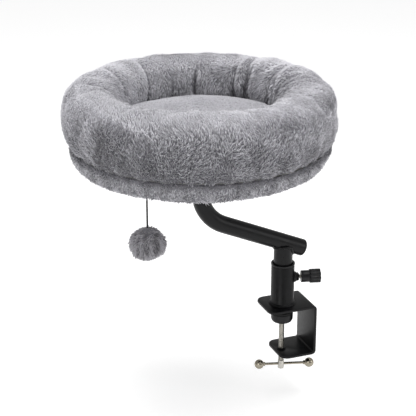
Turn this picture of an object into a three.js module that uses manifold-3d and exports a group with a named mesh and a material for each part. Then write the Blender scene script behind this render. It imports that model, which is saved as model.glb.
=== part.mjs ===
// Cat desk bed: a round plush bed on a cranked tube mast that clamps to the edge of a desk.
// Millimetres, +Z up. The origin is where the post's axis meets the underside of the clamp's
// top jaw, the face that rests on the desk. The clamp's web is at +X and the bed is at -X.
import * as THREE from 'three';
import { mergeVertices } from 'three/addons/utils/BufferGeometryUtils.js';
import Module from 'manifold-3d';

const wasm = await Module();
wasm.setup();

// Fits shared by all pieces
const runningGap = 0.3; // between neighbours that touch, slide or turn
const overrun = 2; // how far a cutter passes the face it cuts

// Clamp bracket: one flat bar bent into a C
const jawWidth = 60;
const jawThickness = 4;
const topJawLength = 75; // tip to the web's outer face
const bottomJawLength = 55;
const bracketHeight = 80; // over both jaws
const webReach = 43.5; // post axis to the web's outer face
const bracketBendRadius = 6; // outer
const jawCornerRadius = 13;

// Sleeve welded on the top jaw
const sleeveDiameter = 34.5;
const sleeveWall = 1.5;
const sleeveLength = 61.7;
const weldLeg = 2.2;

// Plastic collar in the sleeve's mouth
const collarFlangeDiameter = 35.4;
const collarFlangeHeight = 2.8;
const collarSpigotLength = 12;
const collarEdgeRadius = 1.2;

// Thumb screw that locks the post
const thumbScrewRise = 41.2; // above the top jaw
const thumbScrewTurn = THREE.MathUtils.degToRad(-15); // about the post, from +X
const thumbScrewDiameter = 6;
const thumbNutAcrossFlats = 10.8;
const thumbNutReach = 24; // post axis to the nut's outer face
const thumbNutWeldRadius = 8;
const thumbNutWeldHeight = 4;
const knobHubReach = 27.1; // post axis to the hub's near end
const knobHubDiameter = 17.8;
const knobHubLength = 12.9;
const knobHeadDiameter = 21.6;
const knobHeadLength = 16.2;
const knobLobes = 8;
const knobGrooveDepth = 1.1;
const knobEdgeRadius = 1.6;
const knobSocketDepth = 9;

// Post and its foot plug
const postDiameter = 28;
const postEarDrop = 4; // its cut top below the arm's axis
const tubeWall = 1.5;
const mastDrop = 8; // how far the mast can sink until its foot meets the jaw
const footPlugHeight = 5;
const plugSpigotLength = 10;

// Arm: slopes up from past the post, then bends up to the bed
const armDiameter = 25;
const armCrossingHeight = 101.7; // where the arm's axis crosses the post's
const armSlope = THREE.MathUtils.degToRad(23.8);
const armTail = 31.5; // along the arm, from the post's axis to its lower end
const armBendRadius = 60;
const bedOffset = 130.4; // post axis to bed axis
const armPlugLip = 2.5;
const armSides = 9; // in each half turn of the tube
const armSteps = 18;

// Flange under the bed and its screws
const flangeDiameter = 100;
const flangeThickness = 3;
const screwCircleDiameter = 76;
const screwCount = 4;
const screwDiameter = 5.6;
const screwHeadDiameter = 11;
const screwHeadHeight = 3.2;
const teeNutDiameter = 17;
const teeNutFlangeThickness = 1.2;
const teeNutBarrelDiameter = 8;
const teeNutBarrelLength = 7;

// Bed base: cover, plywood board and foam
const bedHeight = 250; // the cover's underside above the desk
const coverThickness = 2;
const coverBottomRadius = 169.5;
const coverTopRadius = 175;
const coverEdgeRadius = 6;
const coverHeight = 25.4;
const coverPuckerDepth = 1.1;
const coverPuckers = 22;
const boardThickness = 9;
const fillGap = 0.5; // from the board's and the foam's edge to the cover's wall

// Bolster ring and seat cushion
const bedDiameter = 370;
const bolsterHeight = 83.6;
const bolsterWidth = 73;
const bolsterSeamInset = 0.5; // from the cover's top edge in to the bolster's seam
const bolsterFootInset = 2.5; // from its inner wall out to its inner seam
const bolsterLean = 4.5; // how far the crest leans in from the ring's middle
const bolsterRoundness = 2.3; // exponent of its section, 2 is an ellipse
const bolsterFootRoundness = 6; // the same where it stands beside the cushion
const gatherDepth = 10;
const gatherWidth = 12;
const gatherLap = 5; // width of a gather's steep side, where the cloth laps over
const gatherReach = THREE.MathUtils.degToRad(135); // round the tube, from its crest to its foot
const gatherStartShare = -0.12; // of that reach, before the crest
const gatherDeepestShare = 0.28; // of that reach, where a gather has its whole depth
const cushionEdgeHeight = 30;
const cushionCrown = 7;
const cushionPinch = 3.5; // how far its sides draw in at the welt
const cushionGap = 0.9; // to the bolster's inner wall

// Clamp screw, swivel pad, bush and T bar
const clampScrewDiameter = 8;
const padDiameter = 33;
const padHeight = 18;
const padDrop = 8; // from the top jaw to the pad's face
const padRubberThickness = 3.6;
const padBevel = 5.5;
const screwBallDiameter = 8.4;
const screwBallDepth = 7; // ball centre above the cup's foot
const screwNeckDiameter = 6;
const screwShoulderGap = 1; // below the cup
const bushFlangeDiameter = 13;
const bushFlangeThickness = 1.5;
const bushBarrelDiameter = 10.5;
const bushTail = 1.5; // below the bottom jaw
const hubDiameter = 9.4;
const hubLength = 14.5;
const hubTopDepth = 91; // below the top jaw's underside
const hubChamfer = 0.9;
const barDiameter = 4;
const barBallDiameter = 14.7;
const barBallSpacing = 76;
const barBallNeckDiameter = 6.5;
const barBallNeckLength = 2.2;
const barShift = 5; // of the bar in its hole
const barTurn = THREE.MathUtils.degToRad(-16.5); // about the screw, from +X

// Toy on a cord under the bed
const toyRimInset = 22.53; // from the cover's lower edge in to the cord
const toyTurn = THREE.MathUtils.degToRad(-139.526); // about the bed, from +X
const toyKnotDiameter = 4.4;
const toyCordDiameter = 2;
const toyCordLength = 47.6;
const pomPomDiameter = 45;
const pomPomLump = 0.9;

// Smoothness, in sides of a round piece
const fineSides = 40;
const roundSides = 24;
const smallSides = 14;
const bedSides = 72;
const bolsterSides = 144;

// Places worked out from the sizes above
const jawTop = jawThickness;
const sleeveBottom = jawTop + runningGap;
const sleeveTop = sleeveBottom + sleeveLength;
const sleeveBore = sleeveDiameter / 2 - sleeveWall;
const thumbHeight = jawTop + thumbScrewRise;
const footBottom = jawTop + runningGap + mastDrop;
const postBottom = footBottom + footPlugHeight + runningGap;
const postBore = postDiameter / 2 - tubeWall;
const armBore = armDiameter / 2 - tubeWall;
const flangeTop = bedHeight - runningGap;
const flangeBottom = flangeTop - flangeThickness;
const armTop = flangeBottom - runningGap;
const coverWaistRadius = THREE.MathUtils.lerp(coverBottomRadius, coverTopRadius, 0.5);
const boardRadius = Math.min(coverBottomRadius, coverWaistRadius) - 2 * coverThickness - fillGap;
const foamRadius = Math.min(coverWaistRadius, coverTopRadius)
  - coverThickness - coverPuckerDepth - fillGap;
const boardBottom = bedHeight + coverThickness + runningGap;
const boardTop = boardBottom + boardThickness;
const foamBottom = boardTop + runningGap + teeNutFlangeThickness + runningGap;
const coverTop = bedHeight + coverHeight;
const bolsterBottom = coverTop + runningGap;
const jawBottomTop = jawTop - bracketHeight + jawThickness;
const jawBottomUnderside = jawTop - bracketHeight;
const padTop = -padDrop;
const padBottom = padTop - padHeight;
const cupTop = padTop - padRubberThickness - runningGap;
const screwBallHeight = padBottom + screwBallDepth;
const hubTop = -hubTopDepth;
const hubBottom = hubTop - hubLength;
const barHeight = (hubTop + hubBottom) / 2;
const toyPivotHeight = bedHeight - runningGap - toyKnotDiameter / 2;
const toyReach = coverBottomRadius - toyRimInset;
const toyX = toyReach * Math.cos(toyTurn) - bedOffset;
const toyY = toyReach * Math.sin(toyTurn);

// A finish for one piece
function finish(color, roughness, metalness) {
  return new THREE.MeshStandardMaterial({ color, roughness, metalness });
}
const powderCoat = () => finish(0x1d1d1f, 0.55, 0.4);
const blackPlastic = () => finish(0x151517, 0.4, 0);
const zincPlate = () => finish(0xc9c9c6, 0.3, 0.9);
const nickelPlate = () => finish(0xd6d3cc, 0.15, 1);
const blackRubber = () => finish(0x141414, 0.85, 0);
const greyPlush = () => finish(0x99989d, 0.95, 0);
const palePlush = () => finish(0xa9a8ac, 0.95, 0);
const plywood = () => finish(0xc8a878, 0.7, 0);
const whiteFoam = () => finish(0xe8e6df, 0.9, 0);
const blackCord = () => finish(0x17171a, 0.8, 0);

function piece(name, geometry, material) {
  const mesh = new THREE.Mesh(geometry, material);
  mesh.name = name;
  return mesh;
}

// A closed geometry as a solid that can be cut and joined
function solid(geometry) {
  const bare = geometry.index ? geometry.toNonIndexed() : geometry.clone();
  bare.deleteAttribute('normal');
  bare.deleteAttribute('uv');
  const merged = mergeVertices(bare);
  const corners = merged.index.array;
  const kept = [];
  for (let i = 0; i < corners.length; i += 3) {
    const [a, b, c] = [corners[i], corners[i + 1], corners[i + 2]];
    if (a !== b && b !== c && c !== a) kept.push(a, b, c);
  }
  const mesh = new wasm.Mesh({
    numProp: 3,
    vertProperties: merged.attributes.position.array,
    triVerts: Uint32Array.from(kept),
  });
  return new wasm.Manifold(mesh);
}

// A cut or joined solid as a geometry again
function geometryOf(shape) {
  const mesh = shape.getMesh();
  const geometry = new THREE.BufferGeometry();
  geometry.setAttribute('position', new THREE.BufferAttribute(mesh.vertProperties, 3));
  geometry.setIndex(new THREE.BufferAttribute(mesh.triVerts, 1));
  return geometry;
}

// A profile of [radius, height] points turned about Z, listed up the outside
function turned(profile, sides) {
  const points = profile.map(([radius, height]) => new THREE.Vector2(radius, height));
  return new THREE.LatheGeometry(points, sides).rotateX(Math.PI / 2);
}

// A plain round rod or disc standing on Z between two heights
function rod(radius, bottom, top, sides) {
  return turned([[0, bottom], [radius, bottom], [radius, top], [0, top]], sides);
}

// A pipe on Z between two heights
function pipe(bore, radius, bottom, top, sides) {
  return turned(
    [[bore, bottom], [radius, bottom], [radius, top], [bore, top], [bore, bottom]], sides);
}

// Points of a circular arc in the (radius, height) plane
function arc(centreRadius, centreHeight, radius, fromDegrees, toDegrees, steps) {
  const points = [];
  for (let i = 0; i <= steps; i++) {
    const angle = THREE.MathUtils.degToRad(THREE.MathUtils.lerp(fromDegrees, toDegrees, i / steps));
    points.push([
      centreRadius + radius * Math.cos(angle), centreHeight + radius * Math.sin(angle)]);
  }
  return points;
}

// Turns a piece made on Z to lie along the thumb screw's axis, pointing away from the post
function alongThumbScrew(geometry) {
  return geometry.rotateY(Math.PI / 2).rotateZ(thumbScrewTurn).translate(0, 0, thumbHeight);
}

// Turns a piece made on Z to lie along the arm's lower length, pointing down to its end
function alongArm(geometry) {
  return geometry.rotateY(Math.PI / 2 + armSlope).translate(0, 0, armCrossingHeight);
}

// The C profile of the bar, extruded across it
function bracketBar() {
  const inner = bracketBendRadius - jawThickness;
  const web = webReach - jawThickness;
  const shape = new THREE.Shape();
  shape.moveTo(webReach - topJawLength, 0);
  shape.lineTo(web - inner, 0);
  shape.absarc(web - inner, -inner, inner, Math.PI / 2, 0, true);
  shape.absarc(web - inner, jawBottomTop + inner, inner, 0, -Math.PI / 2, true);
  shape.lineTo(webReach - bottomJawLength, jawBottomTop);
  shape.lineTo(webReach - bottomJawLength, jawBottomUnderside);
  const outerX = webReach - bracketBendRadius;
  shape.absarc(outerX, jawBottomUnderside + bracketBendRadius, bracketBendRadius,
    -Math.PI / 2, 0, false);
  shape.absarc(outerX, jawTop - bracketBendRadius, bracketBendRadius, 0, Math.PI / 2, false);
  shape.lineTo(webReach - topJawLength, jawTop);
  shape.closePath();
  const bar = new THREE.ExtrudeGeometry(
    shape, { depth: jawWidth, bevelEnabled: false, curveSegments: 6 });
  return bar.rotateX(Math.PI / 2).translate(0, jawWidth / 2, 0);
}

// What rounding a jaw's corner takes away, on the +Y side
function cornerWaste(tipX, top, bottom) {
  const side = jawWidth / 2;
  const shape = new THREE.Shape();
  shape.moveTo(tipX - overrun, side - jawCornerRadius);
  shape.lineTo(tipX, side - jawCornerRadius);
  shape.absarc(
    tipX + jawCornerRadius, side - jawCornerRadius, jawCornerRadius, Math.PI, Math.PI / 2, true);
  shape.lineTo(tipX + jawCornerRadius, side + overrun);
  shape.lineTo(tipX - overrun, side + overrun);
  shape.closePath();
  const depth = top - bottom + 2 * overrun;
  const waste = new THREE.ExtrudeGeometry(shape, { depth, bevelEnabled: false, curveSegments: 8 });
  return waste.translate(0, 0, bottom - overrun);
}

function jawBracket() {
  let bar = solid(bracketBar());
  const jaws = [
    [webReach - topJawLength, jawTop, 0],
    [webReach - bottomJawLength, jawBottomTop, jawBottomUnderside],
  ];
  for (const [tipX, top, bottom] of jaws) {
    const waste = solid(cornerWaste(tipX, top, bottom));
    bar = bar.subtract(waste).subtract(waste.mirror([0, 1, 0]));
  }
  const bushHole = rod(bushBarrelDiameter / 2 + runningGap, jawBottomUnderside - overrun,
    jawBottomTop + overrun, smallSides);
  return piece('jaw_bracket', geometryOf(bar.subtract(solid(bushHole))), powderCoat());
}

function mastSleeve() {
  const radius = sleeveDiameter / 2;
  const tube = turned([
    [sleeveBore, sleeveBottom], [radius + weldLeg, sleeveBottom],
    [radius + weldLeg / 3, sleeveBottom + weldLeg / 3], [radius, sleeveBottom + weldLeg],
    [radius, sleeveTop], [sleeveBore, sleeveTop], [sleeveBore, sleeveBottom],
  ], roundSides);
  const hole = alongThumbScrew(
    rod(thumbScrewDiameter / 2 + runningGap, 0, sleeveDiameter, smallSides));
  return piece('mast_sleeve', geometryOf(solid(tube).subtract(solid(hole))), powderCoat());
}

// A hexagonal nut with the cone of weld that holds it on the sleeve
function thumbScrewNut() {
  const hexRadius = thumbNutAcrossFlats / Math.sqrt(3);
  const nut = solid(alongThumbScrew(rod(hexRadius, sleeveBore, thumbNutReach, 6)));
  const wall = sleeveDiameter / 2;
  const weld = solid(alongThumbScrew(turned([
    [0, sleeveBore], [thumbNutWeldRadius, sleeveBore], [thumbNutWeldRadius, wall],
    [thumbNutAcrossFlats / 2, wall + thumbNutWeldHeight], [0, wall + thumbNutWeldHeight],
  ], smallSides)));
  const thread = solid(alongThumbScrew(
    rod(thumbScrewDiameter / 2 + runningGap, 0, thumbNutReach + overrun, smallSides)));
  const sleeve = solid(rod(
    wall + runningGap, 0, thumbHeight + thumbNutReach, roundSides));
  return piece('thumb_screw_nut',
    geometryOf(nut.add(weld).subtract(thread).subtract(sleeve)), powderCoat());
}

function thumbScrewRod() {
  const radius = thumbScrewDiameter / 2;
  const tip = postDiameter / 2 + runningGap;
  const end = knobHubReach + knobSocketDepth - runningGap;
  const shape = turned([
    [0, tip], [radius * 0.7, tip], [radius, tip + radius * 0.3], [radius, end], [0, end],
  ], smallSides);
  return piece('thumb_screw_rod', alongThumbScrew(shape), zincPlate());
}

// A hub with a lobed grip, moulded on the end of the rod
function thumbKnob() {
  const outline = new THREE.Shape();
  const points = knobLobes * 4;
  const reach = knobHeadDiameter / 2 - knobEdgeRadius;
  for (let i = 0; i < points; i++) {
    const turn = (i / points) * 2 * Math.PI;
    const dip = Math.pow(Math.abs(Math.sin((turn * knobLobes) / 2)), 6) * knobGrooveDepth;
    const radius = reach - dip;
    outline[i ? 'lineTo' : 'moveTo'](radius * Math.cos(turn), radius * Math.sin(turn));
  }
  outline.closePath();
  const head = new THREE.ExtrudeGeometry(outline, {
    depth: knobHeadLength - 2 * knobEdgeRadius, bevelThickness: knobEdgeRadius,
    bevelSize: knobEdgeRadius, bevelSegments: 2,
  }).translate(0, 0, knobHubReach + knobHubLength + knobEdgeRadius);
  const hub = rod(knobHubDiameter / 2, knobHubReach,
    knobHubReach + knobHubLength + knobEdgeRadius, roundSides);
  const socket = rod(thumbScrewDiameter / 2 + runningGap, knobHubReach - overrun,
    knobHubReach + knobSocketDepth, smallSides);
  const knob = geometryOf(solid(head).add(solid(hub)).subtract(solid(socket)));
  return piece('thumb_knob', alongThumbScrew(knob), blackPlastic());
}

// A flanged bush that guides the post in the sleeve's mouth
function sleeveCollar() {
  const bore = postDiameter / 2 + runningGap;
  const spigot = sleeveBore - runningGap;
  const flange = collarFlangeDiameter / 2;
  const seat = sleeveTop + runningGap;
  const top = seat + collarFlangeHeight;
  const edge = arc(flange - collarEdgeRadius, top - collarEdgeRadius, collarEdgeRadius, 0, 90, 3);
  const lead = collarEdgeRadius;
  const shape = turned([
    [bore, sleeveTop - collarSpigotLength], [spigot, sleeveTop - collarSpigotLength],
    [spigot, seat], [flange, seat], ...edge, [bore + lead, top], [bore, top - lead],
    [bore, sleeveTop - collarSpigotLength],
  ], roundSides);
  return piece('sleeve_collar', shape, blackPlastic());
}

// The post is wider than the arm, so its coped top holds the arm between two low ears
function mastPost() {
  const tube = solid(pipe(
    postBore, postDiameter / 2, postBottom, armCrossingHeight - postEarDrop, roundSides));
  const arm = solid(alongArm(rod(
    armDiameter / 2 + runningGap, -armCrossingHeight, armTail + armDiameter, fineSides)));
  return piece('mast_post', geometryOf(lowestPart(tube.subtract(arm))), powderCoat());
}

// The lowest of the separate bodies that a cut leaves
function lowestPart(shape) {
  const bodies = shape.decompose();
  bodies.sort((a, b) => a.boundingBox().min[2] - b.boundingBox().min[2]);
  return bodies[0];
}

function postFootPlug() {
  const guide = sleeveBore - runningGap;
  const spigot = postBore - runningGap;
  const shoulder = footBottom + footPlugHeight;
  const shape = turned([
    [0, footBottom], [guide - tubeWall, footBottom], [guide, footBottom + tubeWall],
    [guide, shoulder], [spigot, shoulder], [spigot, shoulder + plugSpigotLength],
    [0, shoulder + plugSpigotLength],
  ], roundSides);
  return piece('post_foot_plug', shape, blackPlastic());
}

// The arm's centreline: a slope, one bend and a short upright, all in the XZ plane
function armPath() {
  const rise = new THREE.Vector3(-Math.cos(armSlope), 0, Math.sin(armSlope));
  const crossing = new THREE.Vector3(0, 0, armCrossingHeight);
  const end = crossing.clone().addScaledVector(rise, -armTail);
  const corner = crossing.clone().addScaledVector(rise, bedOffset / Math.cos(armSlope));
  const turn = Math.PI / 2 - armSlope;
  const tangent = armBendRadius * Math.tan(turn / 2);
  const bendStart = corner.clone().addScaledVector(rise, -tangent);
  const bendEnd = corner.clone().setZ(corner.z + tangent);
  const centre = new THREE.Vector3(-bedOffset + armBendRadius, 0, bendEnd.z);
  const top = new THREE.Vector3(-bedOffset, 0, armTop);
  const bend = new THREE.Curve();
  bend.getPoint = (t, target = new THREE.Vector3()) => {
    const angle = (1 - t) * turn;
    return target.set(centre.x - armBendRadius * Math.cos(angle), 0,
      centre.z - armBendRadius * Math.sin(angle));
  };
  const path = new THREE.CurvePath();
  path.add(new THREE.LineCurve3(end, bendStart));
  path.add(bend);
  path.add(new THREE.LineCurve3(bendEnd, top));
  return path;
}

function armTube() {
  const ring = new THREE.Shape();
  ring.absarc(0, 0, armDiameter / 2, 0, 2 * Math.PI);
  const hole = new THREE.Path();
  hole.absarc(0, 0, armBore, 0, 2 * Math.PI, true);
  ring.holes.push(hole);
  const tube = new THREE.ExtrudeGeometry(ring, {
    steps: armSteps, extrudePath: armPath(), curveSegments: armSides });
  return piece('arm_tube', tube, powderCoat());
}

function armEndPlug() {
  const radius = armDiameter / 2;
  const spigot = armBore - runningGap;
  const seat = armTail + runningGap;
  const shape = turned([
    [0, seat - plugSpigotLength], [spigot, seat - plugSpigotLength], [spigot, seat],
    [radius, seat], [radius, seat + armPlugLip / 2], [radius - armPlugLip / 3, seat + armPlugLip],
    [radius / 2, seat + armPlugLip * 1.3], [0, seat + armPlugLip * 1.4],
  ], roundSides);
  return piece('arm_end_plug', alongArm(shape), blackPlastic());
}

// Places round the screw circle, seen from the bed's axis
function screwPlaces() {
  const places = [];
  for (let i = 0; i < screwCount; i++) {
    const angle = ((i + 0.5) / screwCount) * 2 * Math.PI;
    const reach = screwCircleDiameter / 2;
    places.push([reach * Math.cos(angle), reach * Math.sin(angle)]);
  }
  return places;
}

// Drills the four screw holes through a solid that is centred on the bed's axis
function drilled(shape, holeRadius, bottom, top) {
  let drilledShape = shape;
  for (const [x, y] of screwPlaces()) {
    const hole = rod(holeRadius, bottom - overrun, top + overrun, smallSides);
    drilledShape = drilledShape.subtract(solid(hole.translate(x, y, 0)));
  }
  return drilledShape;
}

function armFlange() {
  const plate = solid(rod(flangeDiameter / 2, flangeBottom, flangeTop, fineSides));
  const holes = drilled(plate, screwDiameter / 2 + runningGap, flangeBottom, flangeTop);
  return piece('arm_flange', geometryOf(holes), powderCoat());
}

function flangeScrew(index, x, y) {
  const headTop = flangeBottom - runningGap;
  const radius = screwDiameter / 2;
  const head = screwHeadDiameter / 2;
  const shape = turned([
    [0, headTop - screwHeadHeight], [head * 0.6, headTop - screwHeadHeight],
    [head, headTop - screwHeadHeight / 2], [head, headTop], [radius, headTop],
    [radius, boardTop], [0, boardTop],
  ], smallSides);
  return piece(`flange_screw_${index}`, shape.translate(x, y, 0), zincPlate());
}

function teeNut(index, x, y) {
  const bore = screwDiameter / 2 + runningGap;
  const barrel = teeNutBarrelDiameter / 2;
  const seat = boardTop + runningGap;
  const top = seat + teeNutFlangeThickness;
  const bottom = boardTop - teeNutBarrelLength;
  const shape = turned([
    [bore, bottom], [barrel, bottom], [barrel, seat], [teeNutDiameter / 2, seat],
    [teeNutDiameter / 2, top], [bore, top], [bore, bottom],
  ], smallSides);
  return piece(`tee_nut_${index}`, shape.translate(x, y, 0), zincPlate());
}

function baseBoard() {
  const board = solid(rod(boardRadius, boardBottom, boardTop, fineSides));
  const holes = drilled(board, teeNutBarrelDiameter / 2 + runningGap, boardBottom, boardTop);
  return piece('base_board', geometryOf(holes), plywood());
}

function baseFoam() {
  const shape = rod(foamRadius, foamBottom, coverTop, fineSides);
  return piece('base_foam', shape, whiteFoam());
}

// Moves every point of a geometry along its radius by what ease(angle, radius, height) gives
function swelled(geometry, ease) {
  const places = geometry.attributes.position;
  for (let i = 0; i < places.count; i++) {
    const [x, y, z] = [places.getX(i), places.getY(i), places.getZ(i)];
    const radius = Math.hypot(x, y);
    if (radius > 0) {
      const grown = (radius + ease(Math.atan2(y, x), radius, z)) / radius;
      places.setXY(i, x * grown, y * grown);
    }
  }
  return geometry;
}

// The fleece cover round the base: an underside and a side wall that puckers at its top seam
function baseCover() {
  const inner = coverThickness;
  const bottom = bedHeight;
  const waist = coverWaistRadius;
  const belly = coverTopRadius + coverThickness / 2;
  const cup = turned([
    [0, bottom], [coverBottomRadius - coverEdgeRadius, bottom],
    ...arc(coverBottomRadius - coverEdgeRadius, bottom + coverEdgeRadius, coverEdgeRadius,
      -60, 0, 2),
    [waist, bottom + coverHeight * 0.45], [belly, bottom + coverHeight * 0.75],
    [coverTopRadius, coverTop], [coverTopRadius - inner, coverTop],
    [belly - inner, bottom + coverHeight * 0.75], [waist - inner, bottom + coverHeight * 0.45],
    [coverBottomRadius - inner, bottom + coverEdgeRadius],
    [coverBottomRadius - inner - coverThickness, bottom + inner], [0, bottom + inner],
  ], bedSides);
  const puckered = swelled(cup, (angle, radius, height) => {
    const up = (height - bottom) / coverHeight;
    const onWall = radius > coverBottomRadius - coverEdgeRadius ? up : 0;
    return coverPuckerDepth * onWall * Math.cos(coverPuckers * angle);
  });
  const holes = drilled(solid(puckered), screwDiameter / 2 + runningGap, bottom, bottom + inner);
  return piece('base_cover', geometryOf(holes), greyPlush());
}

// Each gather of the bolster's inner wall: its place at the crest and at the foot, as shares of a
// turn from +X, its depth as a share of the deepest, and the side that laps over, 1 or -1
const gathers = [
  [0.299, 0.314, 1.0, 1], [0.372, 0.414, 0.95, 1], [0.453, 0.486, 0.55, 1],
  [0.544, 0.544, 0.7, 1], [0.6, 0.594, 0.7, -1], [0.641, 0.645, 0.5, 1],
  [0.668, 0.672, 0.7, 1], [0.718, 0.725, 0.6, 1], [0.757, 0.755, 0.65, -1],
  [0.796, 0.805, 0.6, 1], [0.845, 0.855, 0.75, 1], [0.883, 0.892, 0.5, -1],
  [0.925, 0.917, 0.6, -1], [0.964, 0.944, 0.75, -1], [1.006, 0.988, 0.95, -1],
  [0.085, 0.083, 0.85, -1], [0.117, 0.117, 0.65, -1], [0.194, 0.199, 0.6, -1],
];

// How much of the full gather depth the inner wall has at an angle, a radius, and a share of the
// way down from the crest to the foot
function gatherAt(angle, radius, downShare) {
  let depth = 0;
  for (const [crestShare, footShare, depthShare, lap] of gathers) {
    const placeShare = THREE.MathUtils.lerp(
      crestShare, footShare, THREE.MathUtils.clamp(downShare, 0, 1));
    const line = placeShare * 2 * Math.PI;
    const away = Math.atan2(Math.sin(angle - line), Math.cos(angle - line)) * radius * lap;
    const width = away < 0 ? gatherWidth : gatherLap;
    depth = Math.max(depth, depthShare * Math.exp(-((away / width) ** 2)));
  }
  return depth;
}

// Half widths and heights of the bolster's egg-like section
const bolsterMiddleRadius = bedDiameter / 2 - bolsterWidth / 2;
const bolsterMiddleHeight = bolsterBottom + bolsterHeight / 2;
const bolsterTop = bolsterBottom + bolsterHeight;
const cushionTop = bolsterBottom + cushionEdgeHeight;

// The bolster's section: a rounded, inward-leaning loop with a flat underside
function bolsterSection() {
  const points = [];
  const steps = 15;
  const start = Math.asin(-0.93);
  for (let i = 0; i <= steps; i++) {
    const angle = start + (i / steps) * (Math.PI - 2 * start);
    const [c, s] = [Math.cos(angle), Math.sin(angle)];
    const roundness = c < 0 && s < 0 ? bolsterFootRoundness : bolsterRoundness;
    const across = Math.sign(c) * Math.abs(c) ** (2 / roundness);
    const up = Math.sign(s) * Math.abs(s) ** (2 / roundness);
    const lean = (bolsterLean * up * (1 + up)) / 2;
    points.push([
      bolsterMiddleRadius + (across * bolsterWidth) / 2 - lean,
      bolsterMiddleHeight + (up * bolsterHeight) / 2]);
  }
  points[0] = [coverTopRadius - bolsterSeamInset, bolsterBottom];
  points[steps] = [
    bolsterMiddleRadius - bolsterWidth / 2 + bolsterFootInset, bolsterBottom];
  return [...points, points[0]];
}

// The stuffed ring. Its gathers press the skin in towards the middle of the tube, from the crest
// down to the cushion.
function bolster() {
  const ring = turned(bolsterSection(), bolsterSides);
  const places = ring.attributes.position;
  for (let i = 0; i < places.count; i++) {
    const [x, y, z] = [places.getX(i), places.getY(i), places.getZ(i)];
    const radius = Math.hypot(x, y);
    const across = radius - bolsterMiddleRadius;
    const up = z - bolsterMiddleHeight;
    const downShare = Math.atan2(-across, up) / gatherReach;
    const below = THREE.MathUtils.smoothstep(downShare, gatherStartShare, gatherDeepestShare);
    const above = THREE.MathUtils.smoothstep(
      z, cushionTop - cushionEdgeHeight * 0.5, cushionTop + cushionEdgeHeight * 0.4);
    const press = gatherDepth * below * above * gatherAt(Math.atan2(y, x), radius, downShare);
    const left = 1 - press / Math.hypot(across, up);
    const moved = (bolsterMiddleRadius + across * left) / radius;
    places.setXYZ(i, x * moved, y * moved, bolsterMiddleHeight + up * left);
  }
  return piece('bolster', ring, greyPlush());
}

// A crowned round cushion with a drawn-in side, down on the base inside the bolster
function seatCushion() {
  const radius = bedDiameter / 2 - bolsterWidth - cushionGap;
  const middle = bolsterBottom + cushionEdgeHeight * 0.5;
  const top = cushionTop;
  const crown = [];
  const steps = 5;
  for (let i = 1; i <= steps; i++) {
    const out = 1 - i / steps;
    crown.push([radius * 0.92 * out, top + cushionCrown * (1 - out ** 2)]);
  }
  const shape = turned([
    [0, bolsterBottom], [radius * 0.98, bolsterBottom],
    [radius, bolsterBottom + cushionEdgeHeight * 0.12],
    [radius - cushionPinch, middle], [radius, bolsterBottom + cushionEdgeHeight * 0.78],
    [radius * 0.97, top - cushionPinch / 2], [radius * 0.92, top], ...crown,
  ], fineSides);
  return piece('seat_cushion', shape, palePlush());
}

// The swivel foot: a plastic cup snapped over the screw's ball
function padCup() {
  const ball = screwBallDiameter / 2 + runningGap;
  const mouth = screwNeckDiameter / 2 + runningGap;
  const mouthAngle = THREE.MathUtils.radToDeg(Math.asin(mouth / ball));
  const radius = padDiameter / 2;
  const socket = arc(0, screwBallHeight, ball, 90, mouthAngle - 90, 7);
  const shape = turned([
    [mouth, padBottom], [radius - padBevel, padBottom], [radius, padBottom + padBevel],
    [radius, cupTop], [0, cupTop], ...socket, [mouth, padBottom],
  ], roundSides);
  return piece('pad_cup', shape, blackPlastic());
}

function padRubber() {
  const radius = padDiameter / 2;
  const bottom = padTop - padRubberThickness;
  const round = padRubberThickness / 4;
  const shape = turned([
    [0, bottom], [radius, bottom], [radius, padTop - round], [radius - round, padTop],
    [0, padTop],
  ], roundSides);
  return piece('pad_rubber', shape, blackRubber());
}

// A threaded bush in the bottom jaw
function clampBush() {
  const bore = clampScrewDiameter / 2 + runningGap;
  const barrel = bushBarrelDiameter / 2;
  const seat = jawBottomTop + runningGap;
  const bottom = jawBottomUnderside - bushTail;
  const shape = turned([
    [bore, bottom], [barrel, bottom], [barrel, seat], [bushFlangeDiameter / 2, seat],
    [bushFlangeDiameter / 2, seat + bushFlangeThickness], [bore, seat + bushFlangeThickness],
    [bore, bottom],
  ], smallSides);
  return piece('clamp_bush', shape, powderCoat());
}

// Turns a piece made on Z to lie along the T bar, through the screw's hub
function alongBar(geometry) {
  return geometry.rotateY(Math.PI / 2).rotateZ(barTurn).translate(0, 0, barHeight);
}

// Ball end, neck, threaded length and cross-drilled hub in one piece
function clampScrew() {
  const radius = clampScrewDiameter / 2;
  const ball = screwBallDiameter / 2;
  const neck = screwNeckDiameter / 2;
  const neckAngle = THREE.MathUtils.radToDeg(Math.asin(neck / ball));
  const shoulder = padBottom - screwShoulderGap;
  const hub = hubDiameter / 2;
  const shape = turned([
    [0, hubBottom], [hub - hubChamfer, hubBottom], [hub, hubBottom + hubChamfer],
    [hub, hubTop - hubChamfer], [hub - hubChamfer, hubTop], [radius, hubTop], [radius, shoulder],
    [neck, shoulder], ...arc(0, screwBallHeight, ball, neckAngle - 90, 90, 7),
  ], smallSides);
  const hole = alongBar(rod(barDiameter / 2 + runningGap, -hubDiameter, hubDiameter, smallSides));
  return piece('clamp_screw', geometryOf(solid(shape).subtract(solid(hole))), zincPlate());
}

function teeBar() {
  const half = barBallSpacing / 2;
  const shape = rod(barDiameter / 2, barShift - half, barShift + half, smallSides);
  return piece('tee_bar', alongBar(shape), nickelPlate());
}

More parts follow.
